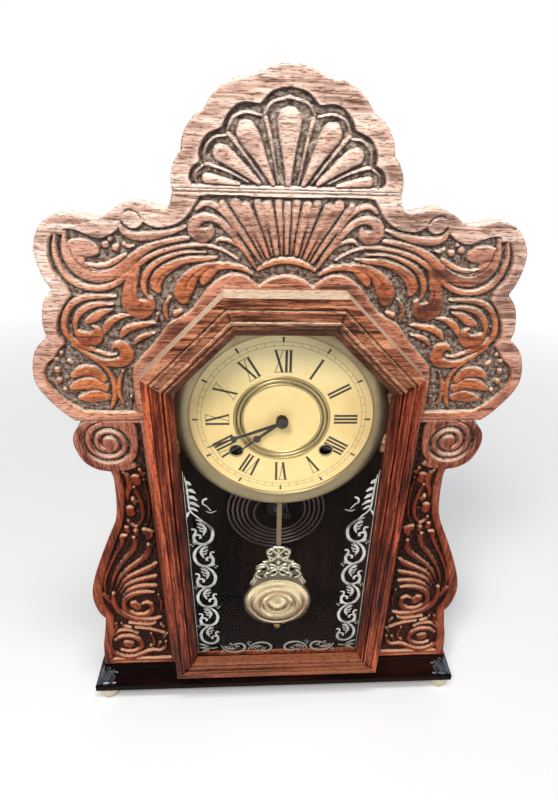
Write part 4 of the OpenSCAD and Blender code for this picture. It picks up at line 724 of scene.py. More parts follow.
# The small curls in the rim, the leaves' veins and the line round the rim, as (depth, half width, points)
PANEL_CUTS = [
    (1.5, 1.0, [(-93.5, 475.5), (-96, 479.5), (-101, 481.6), (-105, 480)]),
    (0.9, 0.8, [(-143, 462), (-141.5, 452), (-136, 444.5), (-128, 441.8), (-118, 444), (-108, 450.5)]),
    (0.8, 0.8, [(-70, 428), (-67, 436), (-59, 443.5), (-50, 446.8)]),
    (0.7, 0.8, [(-88.5, 432), (-84.5, 439), (-76, 444.5), (-64, 448.6)]),
    (0.7, 0.8, [(-104.3, 420), (-105.3, 428), (-103, 436)]),
    (0.5, 0.6, [(-150, 452), (-149, 444), (-144, 436.3), (-137, 432.6), (-127, 431.5)]),
    (0.7, 0.7, [(-138.5, 398.5), (-137, 395), (-140.5, 392.5)]),
    (0.7, 0.7, [(-119.5, 383), (-118.5, 379.5), (-122, 377.5)]),
    (0.7, 0.7, [(-100.5, 420), (-99.5, 416.5), (-103, 414.5)]),
    (0.7, 0.7, [(-56, 471.5), (-55, 468.5), (-58, 467)]),
    (1.1, 0.9, [(-158.5, 357.6), (-150, 361), (-141, 361.4), (-134.5, 356.6)]),
    (1.1, 0.9, [(-157.5, 347.4), (-149, 349.9), (-140, 350.9), (-133.5, 348.4)]),
    (0.6, 0.7, [(-154, 364.6), (-147, 367.6), (-141, 367)]),
    (0.6, 0.7, [(-152, 354.4), (-144, 356)]),
    (0.5, 0.9, [(-114, 362.5), (-108.5, 373.5), (-97, 385.6), (-84, 401.6), (-70, 411.5), (-58, 425),
     (-46, 437)]),
]

# Carving of the left bracket; the right one is its mirror image
BRACKET_EDGE = runs(
    [(-120, 279), (-127, 276.5), (-135, 275.5)],
    [(-134.3, 268), (-133.4, 255), (-134.8, 240), (-138.8, 219), (-150.3, 191), (-161.8, 161), (-168.8, 136),
     (-170.2, 118), (-167, 104), (-163.3, 94)],
    [(-163.3, 94), (-166.8, 72), (-171.3, 50), (-173.2, 28)],
) + [(-111, 28), (-111, 322)] + runs([(-118, 322), (-116, 316), (-116.5, 300), (-119, 290), (-124, 283)])
BRACKET_RAISED = [
    # Neck: leaf, stems and berries
    [(-131.7, 273.5, 1.3), (-128.6, 267.5, 2.4), (-127.8, 259, 3), (-130.4, 251, 2.6), (-131, 244, 1.5)],
    [(-122.3, 266.3, 4.3), (-121.3, 263, 4.6)], [(-118, 275, 1.6), (-115.3, 270, 1.8)],
    [(-124.5, 257, 1.5), (-121.3, 246, 2.3), (-119.6, 234, 2.5), (-121.3, 222, 2.1), (-126.5, 213, 1.4)],
    [(-115.5, 264, 1.2), (-113.8, 250, 1.5), (-113.8, 236, 1.5), (-115.8, 222, 1.4), (-119, 213.5, 1)],
    [(-130.6, 232.3, 4.3), (-130.3, 229, 4.5)], [(-127.3, 243.3, 2.3), (-125.3, 240, 2.3)],
    [(-134, 220, 1.3), (-131.5, 215, 1.8), (-127.6, 212.6, 1.3)],
    # Curls above the fan of leaves
    [(-136.2, 211, 3), (-135.2, 208, 2.8)], [(-128.8, 207, 2.6), (-127.8, 204, 2.4)],
    [(-120.8, 207.3, 3.4), (-117.2, 203.8, 4.4), (-118.6, 199.3, 2.8)],
    # The fan of long leaves
    [(-165.5, 127, 1.1), (-165.8, 138, 1.6), (-162.3, 152, 1.8), (-155.5, 168, 1.9), (-148.3, 182, 2),
     (-142.5, 194, 2.4), (-141.6, 200.5, 2.8), (-137.6, 202, 1.8)],
    [(-160, 134, 1.1), (-156.3, 148, 1.8), (-149.5, 162, 2.1), (-141.3, 174, 2.4), (-134.2, 184, 2.8),
     (-130.8, 193, 3.1), (-131.3, 199, 2)],
    [(-156.3, 134, 1), (-150.3, 148, 2), (-142, 158.5, 2.4), (-132.8, 167, 2.7), (-124.6, 174.5, 3.1),
     (-119.8, 183, 3.4), (-119.3, 190, 2.3)],
    [(-154, 131, 1), (-147.3, 143.5, 2), (-138.3, 151.3, 2.4), (-128.3, 156.8, 2.8), (-119, 162.3, 3),
     (-114.5, 167, 1.8)],
    [(-152.5, 128, 1), (-145.5, 138, 2), (-136, 143.9, 2.4), (-126, 147, 2.8), (-117.2, 149.5, 2.6)],
    [(-150, 124.5, 1.2), (-144, 131.3, 2.2), (-135.3, 135.5, 2.7), (-126, 137, 2.7), (-117.6, 137, 2)],
    [(-169.8, 129, 1.6), (-166, 122.5, 2.6), (-162.8, 115.5, 1.8)],
    # The middle volute
    [(-159.2, 127, 2.2), (-160.3, 115, 3), (-156.6, 102.5, 3.3), (-148.5, 93.6, 3.3), (-137, 89.2, 3.1),
     (-126, 88.6, 2.6), (-117.5, 91.5, 1.5)],
    [(-120.5, 128.3, 1.4), (-130, 128.4, 2.4), (-140.5, 125.7, 3), (-148.3, 119, 3), (-151.2, 109.7, 3),
     (-147.9, 101, 3), (-139.9, 95.9, 3), (-130.7, 96.6, 3), (-124.7, 102.5, 2.9), (-124.4, 109.6, 2.5),
     (-129, 113.6, 1.9), (-133.4, 111.8, 1.2)],
    [(-141.3, 111, 4.6), (-138.3, 107.6, 4.6)],
    [(-116.5, 124, 1.3), (-114.8, 114, 1.6), (-115.8, 103, 1.4)],
    # Strokes and arcs above the bottom scroll
    [(-149.5, 84.6, 1.3), (-139, 82.2, 2.1), (-129, 81.2, 2.1), (-123.6, 83.6, 1.5)],
    [(-144, 77, 1.2), (-134, 75.2, 1.9), (-124.5, 71.8, 1.9), (-115.8, 67.4, 1.2)],
    [(-118.5, 81.3, 1.2), (-115.2, 76.3, 1.5)], [(-116.8, 60.6, 1.4), (-113.8, 66, 1.3)],
    [(-164.3, 86.3, 1.1), (-162.3, 80, 1.8), (-166.5, 70.6, 2), (-170.9, 60, 1.7)],
    [(-157.3, 84.6, 1.1), (-154.8, 79.7, 1.7), (-148.3, 76.8, 1.6)],
    [(-166.2, 66.8, 1.2), (-159.5, 72.6, 1.9), (-150, 72.6, 1.9), (-142.3, 67.6, 1.3)],
    # The bottom scroll
    [(-170.5, 58, 1.6), (-173, 48, 2.6), (-169.6, 37.2, 2.9), (-160, 30.9, 2.9), (-148.6, 31.2, 2.9),
     (-138.6, 36.8, 2.7), (-130.3, 40.6, 2.3), (-122.6, 40, 2.1), (-117, 44.6, 1.9), (-115.6, 53, 1.5)],
    [(-166.6, 57.8, 1.8), (-158.6, 63.4, 2.5), (-148.5, 62.7, 2.7), (-141.3, 56, 2.7), (-140.6, 47.4, 2.7),
     (-146.8, 40.9, 2.5), (-156, 39.8, 2.1), (-162.5, 43, 1.3)],
    [(-155.2, 51.6, 5), (-152.6, 50.4, 5)],
    [(-129.5, 67, 1.3), (-127.4, 58, 1.9), (-128.4, 50.6, 1.8), (-132.4, 46.9, 1.3)],
    [(-121.4, 52.6, 1.4), (-123.8, 47.6, 1.5)],
]
BRACKET_CUTS = [
    (0.8, 0.9, [(-141, 275.6), (-152, 279.6), (-159.5, 287.5), (-162.4, 298), (-160.5, 309),
     (-155, 317.5)]),
    (0.6, 0.8, [(-170.2, 118), (-172.5, 128), (-170.8, 141), (-162.7, 164), (-152, 190), (-140.8, 219),
     (-136.6, 240), (-135.4, 256)]),
    (0.7, 0.7, [(-164, 135), (-160.6, 151), (-153.3, 168), (-146, 182)]),
    (0.7, 0.7, [(-153.5, 148), (-146.5, 161), (-138, 172.5), (-132, 183)]),
    (0.7, 0.8, [(-147, 149), (-139, 158.5), (-129.5, 167), (-122.5, 176)]),
    (0.7, 0.8, [(-144, 144), (-134, 150.8), (-124, 156.5)]),
    (0.7, 0.7, [(-141, 138.5), (-131, 143.6), (-121.5, 146.2)]),
    (0.6, 0.7, [(-158, 115), (-154.5, 104), (-147.5, 96.5), (-138, 92.3)]),
    (0.7, 0.7, [(-128.3, 266), (-128, 258)]),
    (0.7, 0.7, [(-121.5, 246), (-120, 235)]),
    (0.9, 0.9, [(-176, 24.2), (-160, 24.6), (-140, 24.6), (-112, 24.2)]),
]
# The scroll at its top: the middle, the outer radius and how far it winds in at each of its steps
VOLUTE_X, VOLUTE_Z, VOLUTE_R, VOLUTE_IN = -139.0, 302.3, 20.6, 0.166
# Where it starts, each step's turn, in degrees, and the number of steps
VOLUTE_START, VOLUTE_TURN, VOLUTE_STEPS = 100, 9, 96

# Carving of the shell on the crest
SHELL_EDGE = runs([(-60.5, 496.8), (-62.6, 501.5), (-60.5, 507.6), (-55.5, 511)], n=3) + runs(
    [(-55.5, 511), (-55.3, 518), (-50.5, 526), (-41.2, 530.3)],
    [(-41.2, 530.3), (-37.5, 537.2), (-29.5, 543.6), (-17.6, 543.6)],
    [(-17.6, 543.6), (-10.5, 550), (0, 552.6)],
)
SHELL_RAISED = [
    [(-9.6, 499, 1.9), (-16.5, 512, 4), (-23, 523.5, 6.3), (-26, 528, 6.8)],
    [(-18.7, 499.3, 1.7), (-28.5, 506.8, 3.5), (-38, 513.8, 5.3), (-41.8, 515.8, 5.5)],
    [(-31, 498.3, 1.3), (-42, 500, 2.8), (-51, 501.3, 3.6)],
]
SHELL_RIBS = [
    [(-6.3, 499, 0.9), (-9.2, 514, 1.3), (-12.4, 529, 1.7), (-14.3, 535.5, 1.9)],
    [(-14.9, 499.5, 0.8), (-24.2, 511.5, 1.2), (-33.3, 522.6, 1.6), (-37, 526.8, 1.7)],
    [(-25.5, 499.7, 0.8), (-37.5, 505.4, 1.1), (-48, 508.8, 1.4), (-51.8, 509.4, 1.4)],
    [(-15.3, 537.5, 1.1), (-10.6, 543.7, 1.3), (0, 546.8, 1.4)],
    [(-37.4, 528.6, 1.1), (-33.8, 535.2, 1.3), (-26, 538.2, 1.3), (-17.4, 536.8, 1.1)],
    [(-51.8, 510.8, 1), (-51, 518.5, 1.2), (-45.3, 524.3, 1.3), (-38.6, 525.4, 1.1)],
    [(-57.5, 498, 0.9), (-58, 504, 1.1), (-53.3, 508.4, 1.1)],
]


def placed_on(foot, outline):
    """An outline moved up to a board's foot."""
    return [(x, z + foot) for x, z in outline]


def upper_board():
    r = Relief(-187, 187, 322, 495.5, 0.8)
    r.sink(PANEL_EDGE + turned(PANEL_EDGE))
    r.lumps(5, 0.275)
    for stroke in PANEL_RAISED:
        r.both(r.raised, stroke)
    for stroke in PANEL_RIBS:
        r.both(r.raised, stroke, top=-0.5, crown=0.5, wall=0.6)
    # The fan's middle rib
    r.raised([(0, 455.5, 1.8), (0, 468, 2.2), (0, 481, 2.9), (0, 486.5, 2.9)])
    for cut in PANEL_CUTS:
        r.both(r.groove, *cut)
    carved("upper_board_carved", r, placed_on(PANEL_Z, PANEL_LEFT + turned(PANEL_LEFT)), FRONT, "upper_panel")


def brackets():
    r = Relief(-183, -92, 20, 325, 0.75)
    r.sink(BRACKET_EDGE)
    r.lumps(9, 0.275)
    for stroke in BRACKET_RAISED:
        r.raised(stroke)
    steps = [*range(0, VOLUTE_STEPS, 2), VOLUTE_STEPS - 1]
    wound = [(math.radians(VOLUTE_START + VOLUTE_TURN * k), VOLUTE_R - VOLUTE_IN * k) for k in steps]
    r.groove(2.5, 2.5, [(VOLUTE_X + q * math.cos(a), VOLUTE_Z + q * math.sin(a)) for a, q in wound])
    for cut in BRACKET_CUTS:
        r.groove(*cut)
    outline = placed_on(STILE_Z, BRACKET_OUTLINE)
    carved("bracket_left_carved", r, outline, STILE, "stile_left")
    r.mirror()
    carved("bracket_right_carved", r, [(-x, z) for x, z in outline], STILE, "stile_right")


def shell():
    r = Relief(-75, 75, 492, 566, 0.6)
    r.sink(SHELL_EDGE + turned(SHELL_EDGE), 2.6, wall=1.1)
    r.lumps(3, 0.4)
    r.raised([(0, 499, 2.2), (0, 515, 4.4), (0, 529, 7.2), (0, 534.5, 7.9)], top=0.0, crown=1.6)
    for stroke in SHELL_RAISED:
        r.both(r.raised, stroke, top=0.0, crown=1.5)
    for stroke in SHELL_RIBS:
        r.both(r.raised, stroke, top=-0.7, crown=0.8)
    r.both(r.groove, 0.6, 0.6, [(-74, 495.6), (-40, 495.6), (0, 495.6)])
    carved("shell_carved", r, placed_on(CREST_Z, CREST_LEFT + CREST_TOP + turned(CREST_LEFT)), FRONT, "crest")


upper_board()
brackets()
shell()


# Flat and turned pieces for the dial, the glass and the base
def flat(name, polygons, y, material, body, thick=0.04):
    """Thin closed prints: each polygon of (x, z) in metres, its face towards -Y at depth y."""
    verts, faces = [], []
    for poly in polygons:
        area = sum(a[0] * b[1] - b[0] * a[1] for a, b in zip(poly, [*poly[1:], poly[0]]))
        if area < 0:
            poly = poly[::-1]
        n, k = len(poly), len(verts)
        verts += [(x, y, z) for x, z in poly] + [(x, y + thick * MM, z) for x, z in poly]
        faces += [range(k, k + n), range(k + 2 * n - 1, k + n - 1, -1)]
        faces += [[k + (i + 1) % n, k + i, k + n + i, k + n + (i + 1) % n] for i in range(n)]
    make(name, verts, faces, material, body)


def lathe(name, profile, centre, material, body, steps=144):
    """Turns a closed profile of (radius, depth back) in millimetres about a line along Y."""
    m = len(profile)
    turns = [(math.cos(a), math.sin(a)) for a in (2 * math.pi * k / steps for k in range(steps))]
    x, y, z = centre
    verts = [(x + r * MM * c, y + d * MM, z + r * MM * s) for c, s in turns for r, d in profile]
    faces = []
    for k, i in itertools.product(range(steps), range(m)):
        a, b, after = k * m, (k + 1) % steps * m, (i + 1) % m
        faces.append([a + i, b + i, b + after, a + after])
    make(name, verts, faces, material, body, crease=40)


def ribbon(points):
    """The outline of a stroke along (x, z, half width), in the same units."""
    p = spline(points, 6)
    half = heading(p)[:, ::-1] * (-1, 1) * p[:, 2:3]
    return [*(p[:, :2] + half), *(p[:, :2] - half)[::-1]]


def disc(x, z, r, n=10):
    return [(x + r * math.cos(2 * math.pi * k / n), z + r * math.sin(2 * math.pi * k / n)) for k in range(n)]


# The dial's prints, in millimetres: the numerals' letters, and the two circles of the minute track
NUMERALS = "XII I II III IIII V VI VII VIII IX X XI".split()
LETTER_WIDTH = {"I": 3.3, "V": 8.0, "X": 8.4}
LOW, HIGH, THICK, THIN, SERIF = 43.5, 62.5, 1.0, 0.28, 0.22
TRACK_IN, TRACK_OUT, TRACK_LINE = 66.2, 69.6, 0.12
PRINT_LIFT = 0.04 * MM


def radial(angle, u, v):
    """A point of the dial: angle clockwise from the top, u across and v out from the centre, in mm."""
    c, s = math.cos(angle), math.sin(angle)
    return MM * (u * c + v * s), DIAL_Z + MM * (v * c - u * s)


def bar(angle, u0, v0, u1, v1, half, half_out=None):
    """A print from (u0, v0) to (u1, v1), so wide to each side at the start and at the end."""
    half_out = half if half_out is None else half_out
    corners = (u0 - half, v0), (u0 + half, v0), (u1 + half_out, v1), (u1 - half_out, v1)
    return [radial(angle, u, v) for u, v in corners]


def numeral(angle, text):
    """Bars of a numeral that stands across the radius at an angle."""
    out, u = [], -sum(LETTER_WIDTH[c] for c in text) / 2
    for c in text:
        w = LETTER_WIDTH[c]
        strokes = {"I": [(w / 2, LOW, w / 2, HIGH, THICK)],
                   "V": [(1.5, HIGH, w / 2, LOW, THICK), (w - 1.2, HIGH, w / 2, LOW, THIN)],
                   "X": [(1.5, HIGH, w - 1.5, LOW, THICK), (w - 1.3, HIGH, 1.3, LOW, THIN)]}[c]
        out += [bar(angle, u + u0, v0, u + u1, v1, half) for u0, v0, u1, v1, half in strokes]
        for v in (LOW, HIGH) if c != "V" else (HIGH,):
            out.append(bar(angle, u + w / 2, v - SERIF, u + w / 2, v + SERIF, w / 2 - 0.1))
        u += w
    return out


def turn(part, parts):
    """The angle of so many parts of a whole turn."""
    return 2 * math.pi * part / parts


def dial():
    bars = [b for hour, text in enumerate(NUMERALS) for b in numeral(turn(hour, 12), text)]
    track = [bar(turn(hour, 12), 0, 69.0, 0, 73.4, 0.7, 0.9) for hour in range(12)]
    track += [bar(turn(minute, 60), 0, TRACK_IN, 0, TRACK_OUT, 0.13) for minute in range(60)]
    for r, k in itertools.product((TRACK_IN, TRACK_OUT), range(180)):
        a, b, near, far = turn(k, 180), turn(k + 1, 180), r - TRACK_LINE, r + TRACK_LINE
        track.append([radial(a, 0, near), radial(a, 0, far), radial(b, 0, far), radial(b, 0, near)])
    flat("dial_numerals", bars, DIAL_Y - PRINT_LIFT, INK, "case")
    flat("dial_track", track, DIAL_Y - PRINT_LIFT, INK, "case")
    # The pressed ring has three beads, as (middle radius, half width, height); every foot lies in the paper
    ring, foot = [], 0.02
    for mid, half, high in ((32.8, 1.1, 0.75), (35.9, 1.5, 0.95), (39.0, 1.2, 0.75)):
        turns = (math.pi * k / 6 for k in range(7))
        ring += [(mid - half * math.cos(a), -high * math.sin(a)) for a in turns]
    ring += [(40.2, foot), (31.7, foot)]
    lathe("dial_pressed_ring", ring, (0, DIAL_Y, DIAL_Z), PRESSED, "case")
    rim = [(5.5, foot), (5.55, -0.35), (5.9, -0.5), (6.3, -0.35), (6.5, foot)]
    for side, node in (("l", "winding_arbor_strike"), ("r", "winding_arbor_time")):
        centre = (middle_of(node, 0), DIAL_Y, middle_of(node))
        lathe("dial_hole_rim_" + side, rim, centre, PRESSED, "case", 48)


dial()

# The border printed on the back of the glass: one scroll, in millimetres from the strip's middle line and
# above the scroll's foot; the next one up is its mirror image
SCROLL_STEP, STRIP_X, STRIP_Z = 27.5, -68.5, 86
SCROLL = [
    # The bold curve and its hooked end
    [(5.2, 29.3, 0.35), (1.6, 28.2, 0.72), (-2.6, 25.9, 0.96), (-6.9, 20.8, 1.2), (-8.9, 13.4, 1.4),
     (-7, 5.4, 1.4), (-2, 0.9, 1.4), (3.5, 1, 1.4), (7.3, 4.9, 1.4), (7.7, 10.6, 1.2), (5.9, 14.6, 0.96),
     (6.6, 18, 0.88), (9.4, 18, 0.96)],
    [(7, 10.4, 0.72), (4.6, 11.8, 0.88), (2, 10.4, 0.96), (2.4, 7.4, 1.2)],
    # The leaf inside the curve
    [(2.2, 26.4, 0.35), (-1, 22.6, 1.1), (-2.4, 17.2, 1.4), (-0.4, 11, 0.35)],
    [(-1.8, 22.6, 0.48), (1.2, 22.9, 0.72), (3.9, 25.2, 0.4)],
    [(-2, 19, 0.48), (1.2, 19.3, 0.72), (3.9, 21.4, 0.4)],
    [(-2, 15.4, 0.48), (0.6, 15.8, 0.64), (2.6, 17.6, 0.35)],
    # The sprig outside
    [(-3.4, 27, 0.35), (-5.6, 28.7, 0.64), (-8.6, 28.4, 0.4)],
]
DOTS = [(-9.6, 26), (-11.2, 28), (-8.7, 30.2)]
# Above this height a scroll has neither its sprig nor its dots
SPRIG_TOP = 220
# The frond above the scrolls, and the strokes at the foot, in millimetres across and above the floor
FROND = [
    [(-80, 300, 0.4), (-78.8, 288, 0.7), (-78.3, 274, 0.9), (-77.4, 263, 0.8), (-72.5, 256.5, 0.6),
     (-67, 250.5, 0.7), (-62.2, 246, 0.8), (-60.2, 239.6, 1)],
    [(-79.2, 295, 0.5), (-77.2, 292.8, 1.6), (-75, 290.4, 0.5)],
    [(-78.6, 286, 0.8), (-75.2, 284.8, 1.7), (-71.8, 282, 0.4)],
    [(-78.4, 279, 0.8), (-74.8, 277.6, 1.7), (-70.9, 274.2, 0.4)],
    [(-78.2, 272, 0.8), (-74.2, 270.8, 1.6), (-69.6, 267.2, 0.4)],
    [(-77.6, 266, 0.8), (-74.6, 265, 1.3), (-71, 262.4, 0.4)],
    [(-77.8, 262, 0.5), (-79.8, 259.4, 1.2), (-80.4, 255.6, 0.4)],
    # A loose curl beside it
    [(-62.8, 276.2, 1.1), (-66, 274.2, 0.9), (-66.4, 270.4, 0.6), (-63.4, 267.8, 0.5), (-60, 262.6, 0.4)],
    [(-64.2, 262.2, 0.35), (-60.4, 260.6, 0.5), (-55.4, 262.6, 0.35)],
]
FOOT = [
    [(-80, 86.5, 0.5), (-75.6, 84.2, 1.3), (-70.4, 81, 0.5)],
    [(-79.6, 79.8, 0.5), (-75.4, 79.8, 1.3), (-70.6, 78, 0.5)],
    [(-78.4, 73.6, 0.5), (-74.4, 75.8, 1.3), (-69.8, 76.4, 0.5)],
    [(-70.4, 79.2, 0.5), (-66, 78.6, 0.9), (-62, 80.2, 0.5)],
]
# The line outside it
EDGE_LINE = [(-81.5, 72), (-81, 72), (-81, 305), (-81.5, 305)]


def placed(shape, x, z, size=1.0, turned_by=0.0, flip=False, mirror=False):
    """The shape moved to (x, z), after a flip across its own middle line, a change of size and a turn."""
    c, s = math.cos(turned_by), math.sin(turned_by)
    out = []
    for u, v, *rest in shape:
        u, v = (-u if flip else u) * size, v * size
        across = x + (u * c - v * s)
        out.append((-across if mirror else across, z + u * s + v * c, *(w * size for w in rest)))
    return out


def glass_border():
    """Scrolls, dots, fronds and a line down each side of the glass, and scrolls along its foot."""
    prints = []
    # Six scrolls up each side, and two laid along the foot
    units = [(STRIP_X, STRIP_Z + SCROLL_STEP * i, 1.0, 0, i % 2 == 1) for i in range(6)]
    units += [(-33.5 + 27 * i, 78.6, 0.82, math.pi / 2, i % 2 == 1) for i in (0, 1)]
    for mirror in (False, True):
        for x, z, size, turned_by, flip in units:
            where = (x, z, size, turned_by, flip, mirror)
            plain = z > SPRIG_TOP
            prints += [ribbon(placed(shape, *where)) for shape in (SCROLL[:-1] if plain else SCROLL)]
            prints += [disc(*placed([dot], *where)[0], 0.8 * size) for dot in (() if plain else DOTS)]
        prints += [ribbon(placed(shape, 0, 0, mirror=mirror)) for shape in FROND + FOOT]
        prints.append(placed(EDGE_LINE, 0, 0, mirror=mirror))
    prints = [[(x * MM, z * MM) for x, z in poly] for poly in prints]
    flat("glass_border", prints, GLASS_Y + 0.02 * MM, STENCIL, "door", 0.02)


STENCIL = silver()
glass_border()

# Raised scrollwork of the bracket above the bob, in millimetres from the bob's middle: left half and middle
FILIGREE_LINES = [
    [(-5.4, 77.4, 0.8), (-8.6, 76.6, 1.1), (-10.8, 73.4, 1.1), (-9.2, 70.6, 1), (-6.6, 71.8, 0.9)],
    [(-6, 76.4, 0.8), (-2.4, 72.6, 1), (1.4, 67.6, 1), (4.6, 63.4, 1), (8.2, 61.2, 0.8)],
    [(-9.6, 67.6, 0.9), (-8.6, 63.6, 0.9), (-11.6, 60.8, 1), (-15, 60.2, 0.8)],
    [(-7.6, 66.2, 0.7), (-5.4, 64.4, 0.9), (-6.4, 61.6, 0.8)],
    [(-14, 56.6, 0.9), (-17.6, 56.6, 1.1), (-21.2, 54.2, 0.7)],
    [(-14.4, 53.6, 0.9), (-18, 52.8, 1.1), (-21.9, 50.4, 0.7)],
    [(-13.8, 58.4, 0.8), (-12, 56, 1), (-10.4, 52.6, 0.9), (-10.6, 48.6, 0.8)],
    [(-18.4, 47.6, 0.8), (-20.6, 46.8, 1), (-22.4, 43.2, 1.1), (-21, 39.6, 1.1), (-17.4, 38, 0.8)],
    [(-24, 38.6, 0.8), (-25, 35.8, 1.1), (-27.6, 31.4, 1)],
    [(-22, 36.4, 0.8), (-23.4, 33.4, 1), (-25.6, 28.8, 0.9)],
    [(-2, 53, 0.8), (-4.4, 55.6, 1.1), (-7.8, 56.6, 0.8)],
    [(-2.4, 50.8, 0.8), (-6, 51.8, 1.1), (-9, 51, 0.7)],
    [(-2, 48.8, 0.8), (-5, 48.2, 1), (-8, 46, 0.7)], [(-1, 46, 0.7), (-3, 42.4, 1), (-7, 40.8, 0.8)],
    [(-8.4, 44.2, 0.7), (-11.4, 44.4, 1), (-13.4, 42, 1), (-12, 39, 0.9)],
]
FILIGREE_MIDDLE = [
    [(0, 59.4, 2), (0, 58.6, 2)], [(0, 66.6, 1.2), (0, 66.2, 1.2)], [(0, 53.4, 0.9), (0, 50, 1.3)],
    [(0, 73.6, 0.9), (0, 76.6, 1)], [(-4.6, 79.6, 1), (4.6, 79.6, 1)],
]
# Pressed leaves round the front corners of the base, as (distance from the corner, height, half width)
CORNER_LEAF = [
    [(0.9, 9, 0.9), (0.9, 15, 0.9), (1.2, 21, 0.8)],
    [(3.2, 9.5, 1), (3, 15, 1.1), (4.2, 20, 1), (6.2, 23.2, 0.8)],
    [(7.4, 12.2, 2.1), (7.2, 14.6, 2.5), (7.4, 17, 1.7)],
    [(4.9, 11.8, 0.7), (4.7, 16, 0.8), (6.6, 19.8, 0.8), (9.4, 18.6, 0.8), (10.9, 15, 0.8),
     (11, 11.6, 0.7)],
    [(12.8, 9.8, 0.8), (13.6, 12.8, 0.9), (12.6, 15.8, 0.7)],
    [(9.6, 21.2, 0.7), (12, 19.2, 0.9), (15, 18.8, 0.6)],
    [(5.4, 9.2, 0.9), (8.4, 9, 1), (11, 9.2, 0.8)], [(14.8, 9.2, 0.9), (18, 9.2, 0.8)],
    [(2.6, 23.4, 0.8), (4.4, 25.4, 0.7)],
]
# The hollow of the base under them, in millimetres: its radius, the height of its centre and how far that
# lies in front of the base
COVE_R, COVE_Z, COVE_OUT = 31.23, 29.75, 20.91
# How far the strokes are let into the faces, and the number of points across a stroke's round back
SUNK_FILIGREE, SUNK_LEAF, ARC = 0.05, 0.15, 7


def welts(name, lines, places, high, material, body):
    """Raised strokes with round backs and ends along lines of (x, z, half width).

    Each of places is a function that maps x, z and the height off the face, and True where it mirrors."""
    verts, faces = [], []
    for points, (place, mirrored) in itertools.product(lines, places):
        p = spline(points, 5)
        d = heading(p)
        caps = [math.radians(a) for a in (78, 50, 25)]
        first = [[*(p[0, :2] - d[0] * p[0, 2] * math.sin(a)), p[0, 2] * math.cos(a), *d[0]] for a in caps]
        last = [[*(p[-1, :2] + d[-1] * p[-1, 2] * math.sin(a)), p[-1, 2] * math.cos(a), *d[-1]]
                for a in caps[::-1]]
        stations = first + [[*q, *t] for q, t in zip(p, d)] + last
        k, order = len(verts), -1 if mirrored else 1
        for (x, z, r, dx, dz), i in itertools.product(stations, range(ARC)):
            a = math.pi * i / (ARC - 1)
            u, h = r * math.cos(a), high * min(1.0, r) * math.sin(a)
            verts.append(place(x - dz * u, z + dx * u, h))
        for j, i in itertools.product(range(len(stations) - 1), range(ARC)):
            a, b = k + ARC * j + i, k + ARC * j + (i + 1) % ARC
            faces.append([a, b, b + ARC, a + ARC][::order])
        faces.append([k + i for i in range(ARC - 1, -1, -1)][::order])
        faces.append([k + ARC * (len(stations) - 1) + i for i in range(ARC)][::order])
    make(name, verts, faces, material, body, crease=60)


def filigree():
    """Where a point of the scrollwork lies, and whether its strokes are mirrored."""
    front = end_of("bob_bracket")
    return lambda x, z, h: (x * MM, front + (SUNK_FILIGREE - h) * MM, BOB_Z + z * MM), False


def corner(side, front_face):
    """The same for a leaf on the hollow front or end of the base, at its left (-1) or right (1) corner."""
    low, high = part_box("base_front")

    def place(u, z, h):
        hollow = math.sqrt(COVE_R ** 2 - (z - COVE_Z) ** 2) - COVE_OUT
        out, along = hollow + SUNK_LEAF - h, hollow + u
        x, y = (along, out) if front_face else (out, along)
        return (high[0] - x * MM) * side, low[1] + y * MM, low[2] + z * MM
    return place, (side > 0) == front_face


mirrored = [[(-x, z, r) for x, z, r in stroke] for stroke in FILIGREE_LINES]
strokes = FILIGREE_LINES + mirrored + FILIGREE_MIDDLE
welts("bracket_filigree", strokes, [filigree()], 0.8, FILIGREE, "pendulum")
corners = [corner(side, front_face) for side in (-1, 1) for front_face in (True, False)]
welts("corner_leaves", CORNER_LEAF, corners, 0.9, PEWTER, "case")


# Room, light and camera
def floor():
    """A pale floor; far off, what the camera sees of it turns into the white backdrop."""
    n = Nodes("pale_floor")
    cloud = n.noise(n.object(), 1.3, 3, 0.5)
    near = n.shader(n.mix(n.span(cloud, 0.3, 0.7), (0.8, 0.8, 0.8), (0.77, 0.77, 0.77)), 0.6, specular=0.2)
    away = n.span(n.distance(n.axis("X"), n.axis("Y")), 0.35, 1.3)
    material = n.finish(n.for_camera(near, n.new("ShaderNodeEmission", {}), away))
    mesh = bpy.data.meshes.new("floor")
    mesh.from_pydata([(-6, -6, 0), (6, -6, 0), (6, 6, 0), (-6, 6, 0)], [], [(0, 1, 2, 3)])
    mesh.materials.append(material)
    obj = bpy.data.objects.new("floor", mesh)
    bpy.context.scene.collection.objects.link(obj)


def studio():
    """Soft light from all round, before a backdrop that the camera sees as white."""
    n = Nodes("studio", world=True)
    light = n.new("ShaderNodeBackground", {"Color": (0.9, 0.95, 1.0), "Strength": 0.32})
    white = n.new("ShaderNodeBackground", {"Color": (1, 1, 1), "Strength": 1.0})
    bpy.context.scene.world = n.finish(n.for_camera(light, white))


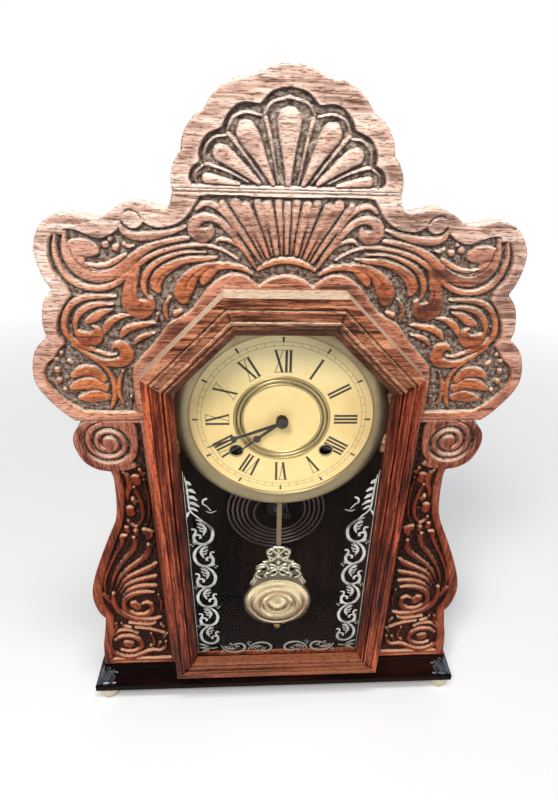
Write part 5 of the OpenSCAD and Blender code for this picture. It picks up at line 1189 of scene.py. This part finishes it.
def lamp(name, place, aim, size, power, colour):
    data = bpy.data.lights.new(name, "AREA")
    data.shape = "RECTANGLE"
    data.size, data.size_y = size
    data.energy = power
    data.color = colour
    obj = bpy.data.objects.new(name, data)
    obj.location = place
    obj.rotation_euler = (Vector(aim) - Vector(place)).to_track_quat("-Z", "Y").to_euler()
    bpy.context.scene.collection.objects.link(obj)


# The photograph's view: where its camera stands, its turns in degrees, and in pixels the photograph's size,
# the focal length and the point straight ahead
CAMERA_PLACE = (-0.01743, -0.40132, 0.57357)
YAW, PITCH, ROLL = -4.01, 30.235, 1.989
PHOTO_WIDTH, PHOTO_HEIGHT, FOCAL, AHEAD_X, AHEAD_Y = 558, 800, 537.23, 293.31, 405.3


def camera():
    yaw, pitch, roll = (math.radians(a) for a in (YAW, PITCH, ROLL))
    ahead = Vector((-math.sin(yaw) * math.cos(pitch), math.cos(yaw) * math.cos(pitch), -math.sin(pitch)))
    side = Vector((math.cos(yaw), math.sin(yaw), 0))
    up = side.cross(ahead)
    right = math.cos(roll) * side + math.sin(roll) * up
    top = -math.sin(roll) * side + math.cos(roll) * up
    lens = bpy.data.cameras.new("photo_view")
    lens.sensor_fit = "VERTICAL"
    lens.sensor_height = 36
    lens.lens = FOCAL * lens.sensor_height / PHOTO_HEIGHT
    lens.shift_x = (PHOTO_WIDTH / 2 - AHEAD_X) / PHOTO_HEIGHT
    lens.shift_y = (AHEAD_Y - PHOTO_HEIGHT / 2) / PHOTO_HEIGHT
    lens.clip_start = 0.01
    obj = bpy.data.objects.new("photo_view", lens)
    turned_to = Matrix((right, top, -ahead)).transposed().to_4x4()
    obj.matrix_world = Matrix.Translation(Vector(CAMERA_PLACE)) @ turned_to
    bpy.context.scene.collection.objects.link(obj)
    bpy.context.scene.camera = obj


floor()
studio()
lamp("key", (-0.55, -1.05, 1.75), (0, 0, 0.3), (0.5, 0.5), 24, (1.0, 0.97, 0.94))
lamp("fill", (1.4, -1.5, 0.9), (0, 0, 0.3), (1.4, 1.4), 7, (0.93, 0.96, 1.0))
lamp("top", (0.05, -0.4, 1.75), (0, 0, 0.35), (0.7, 0.3), 17, (1.0, 0.98, 0.97))
camera()
bpy.context.scene.view_settings.view_transform = "Standard"
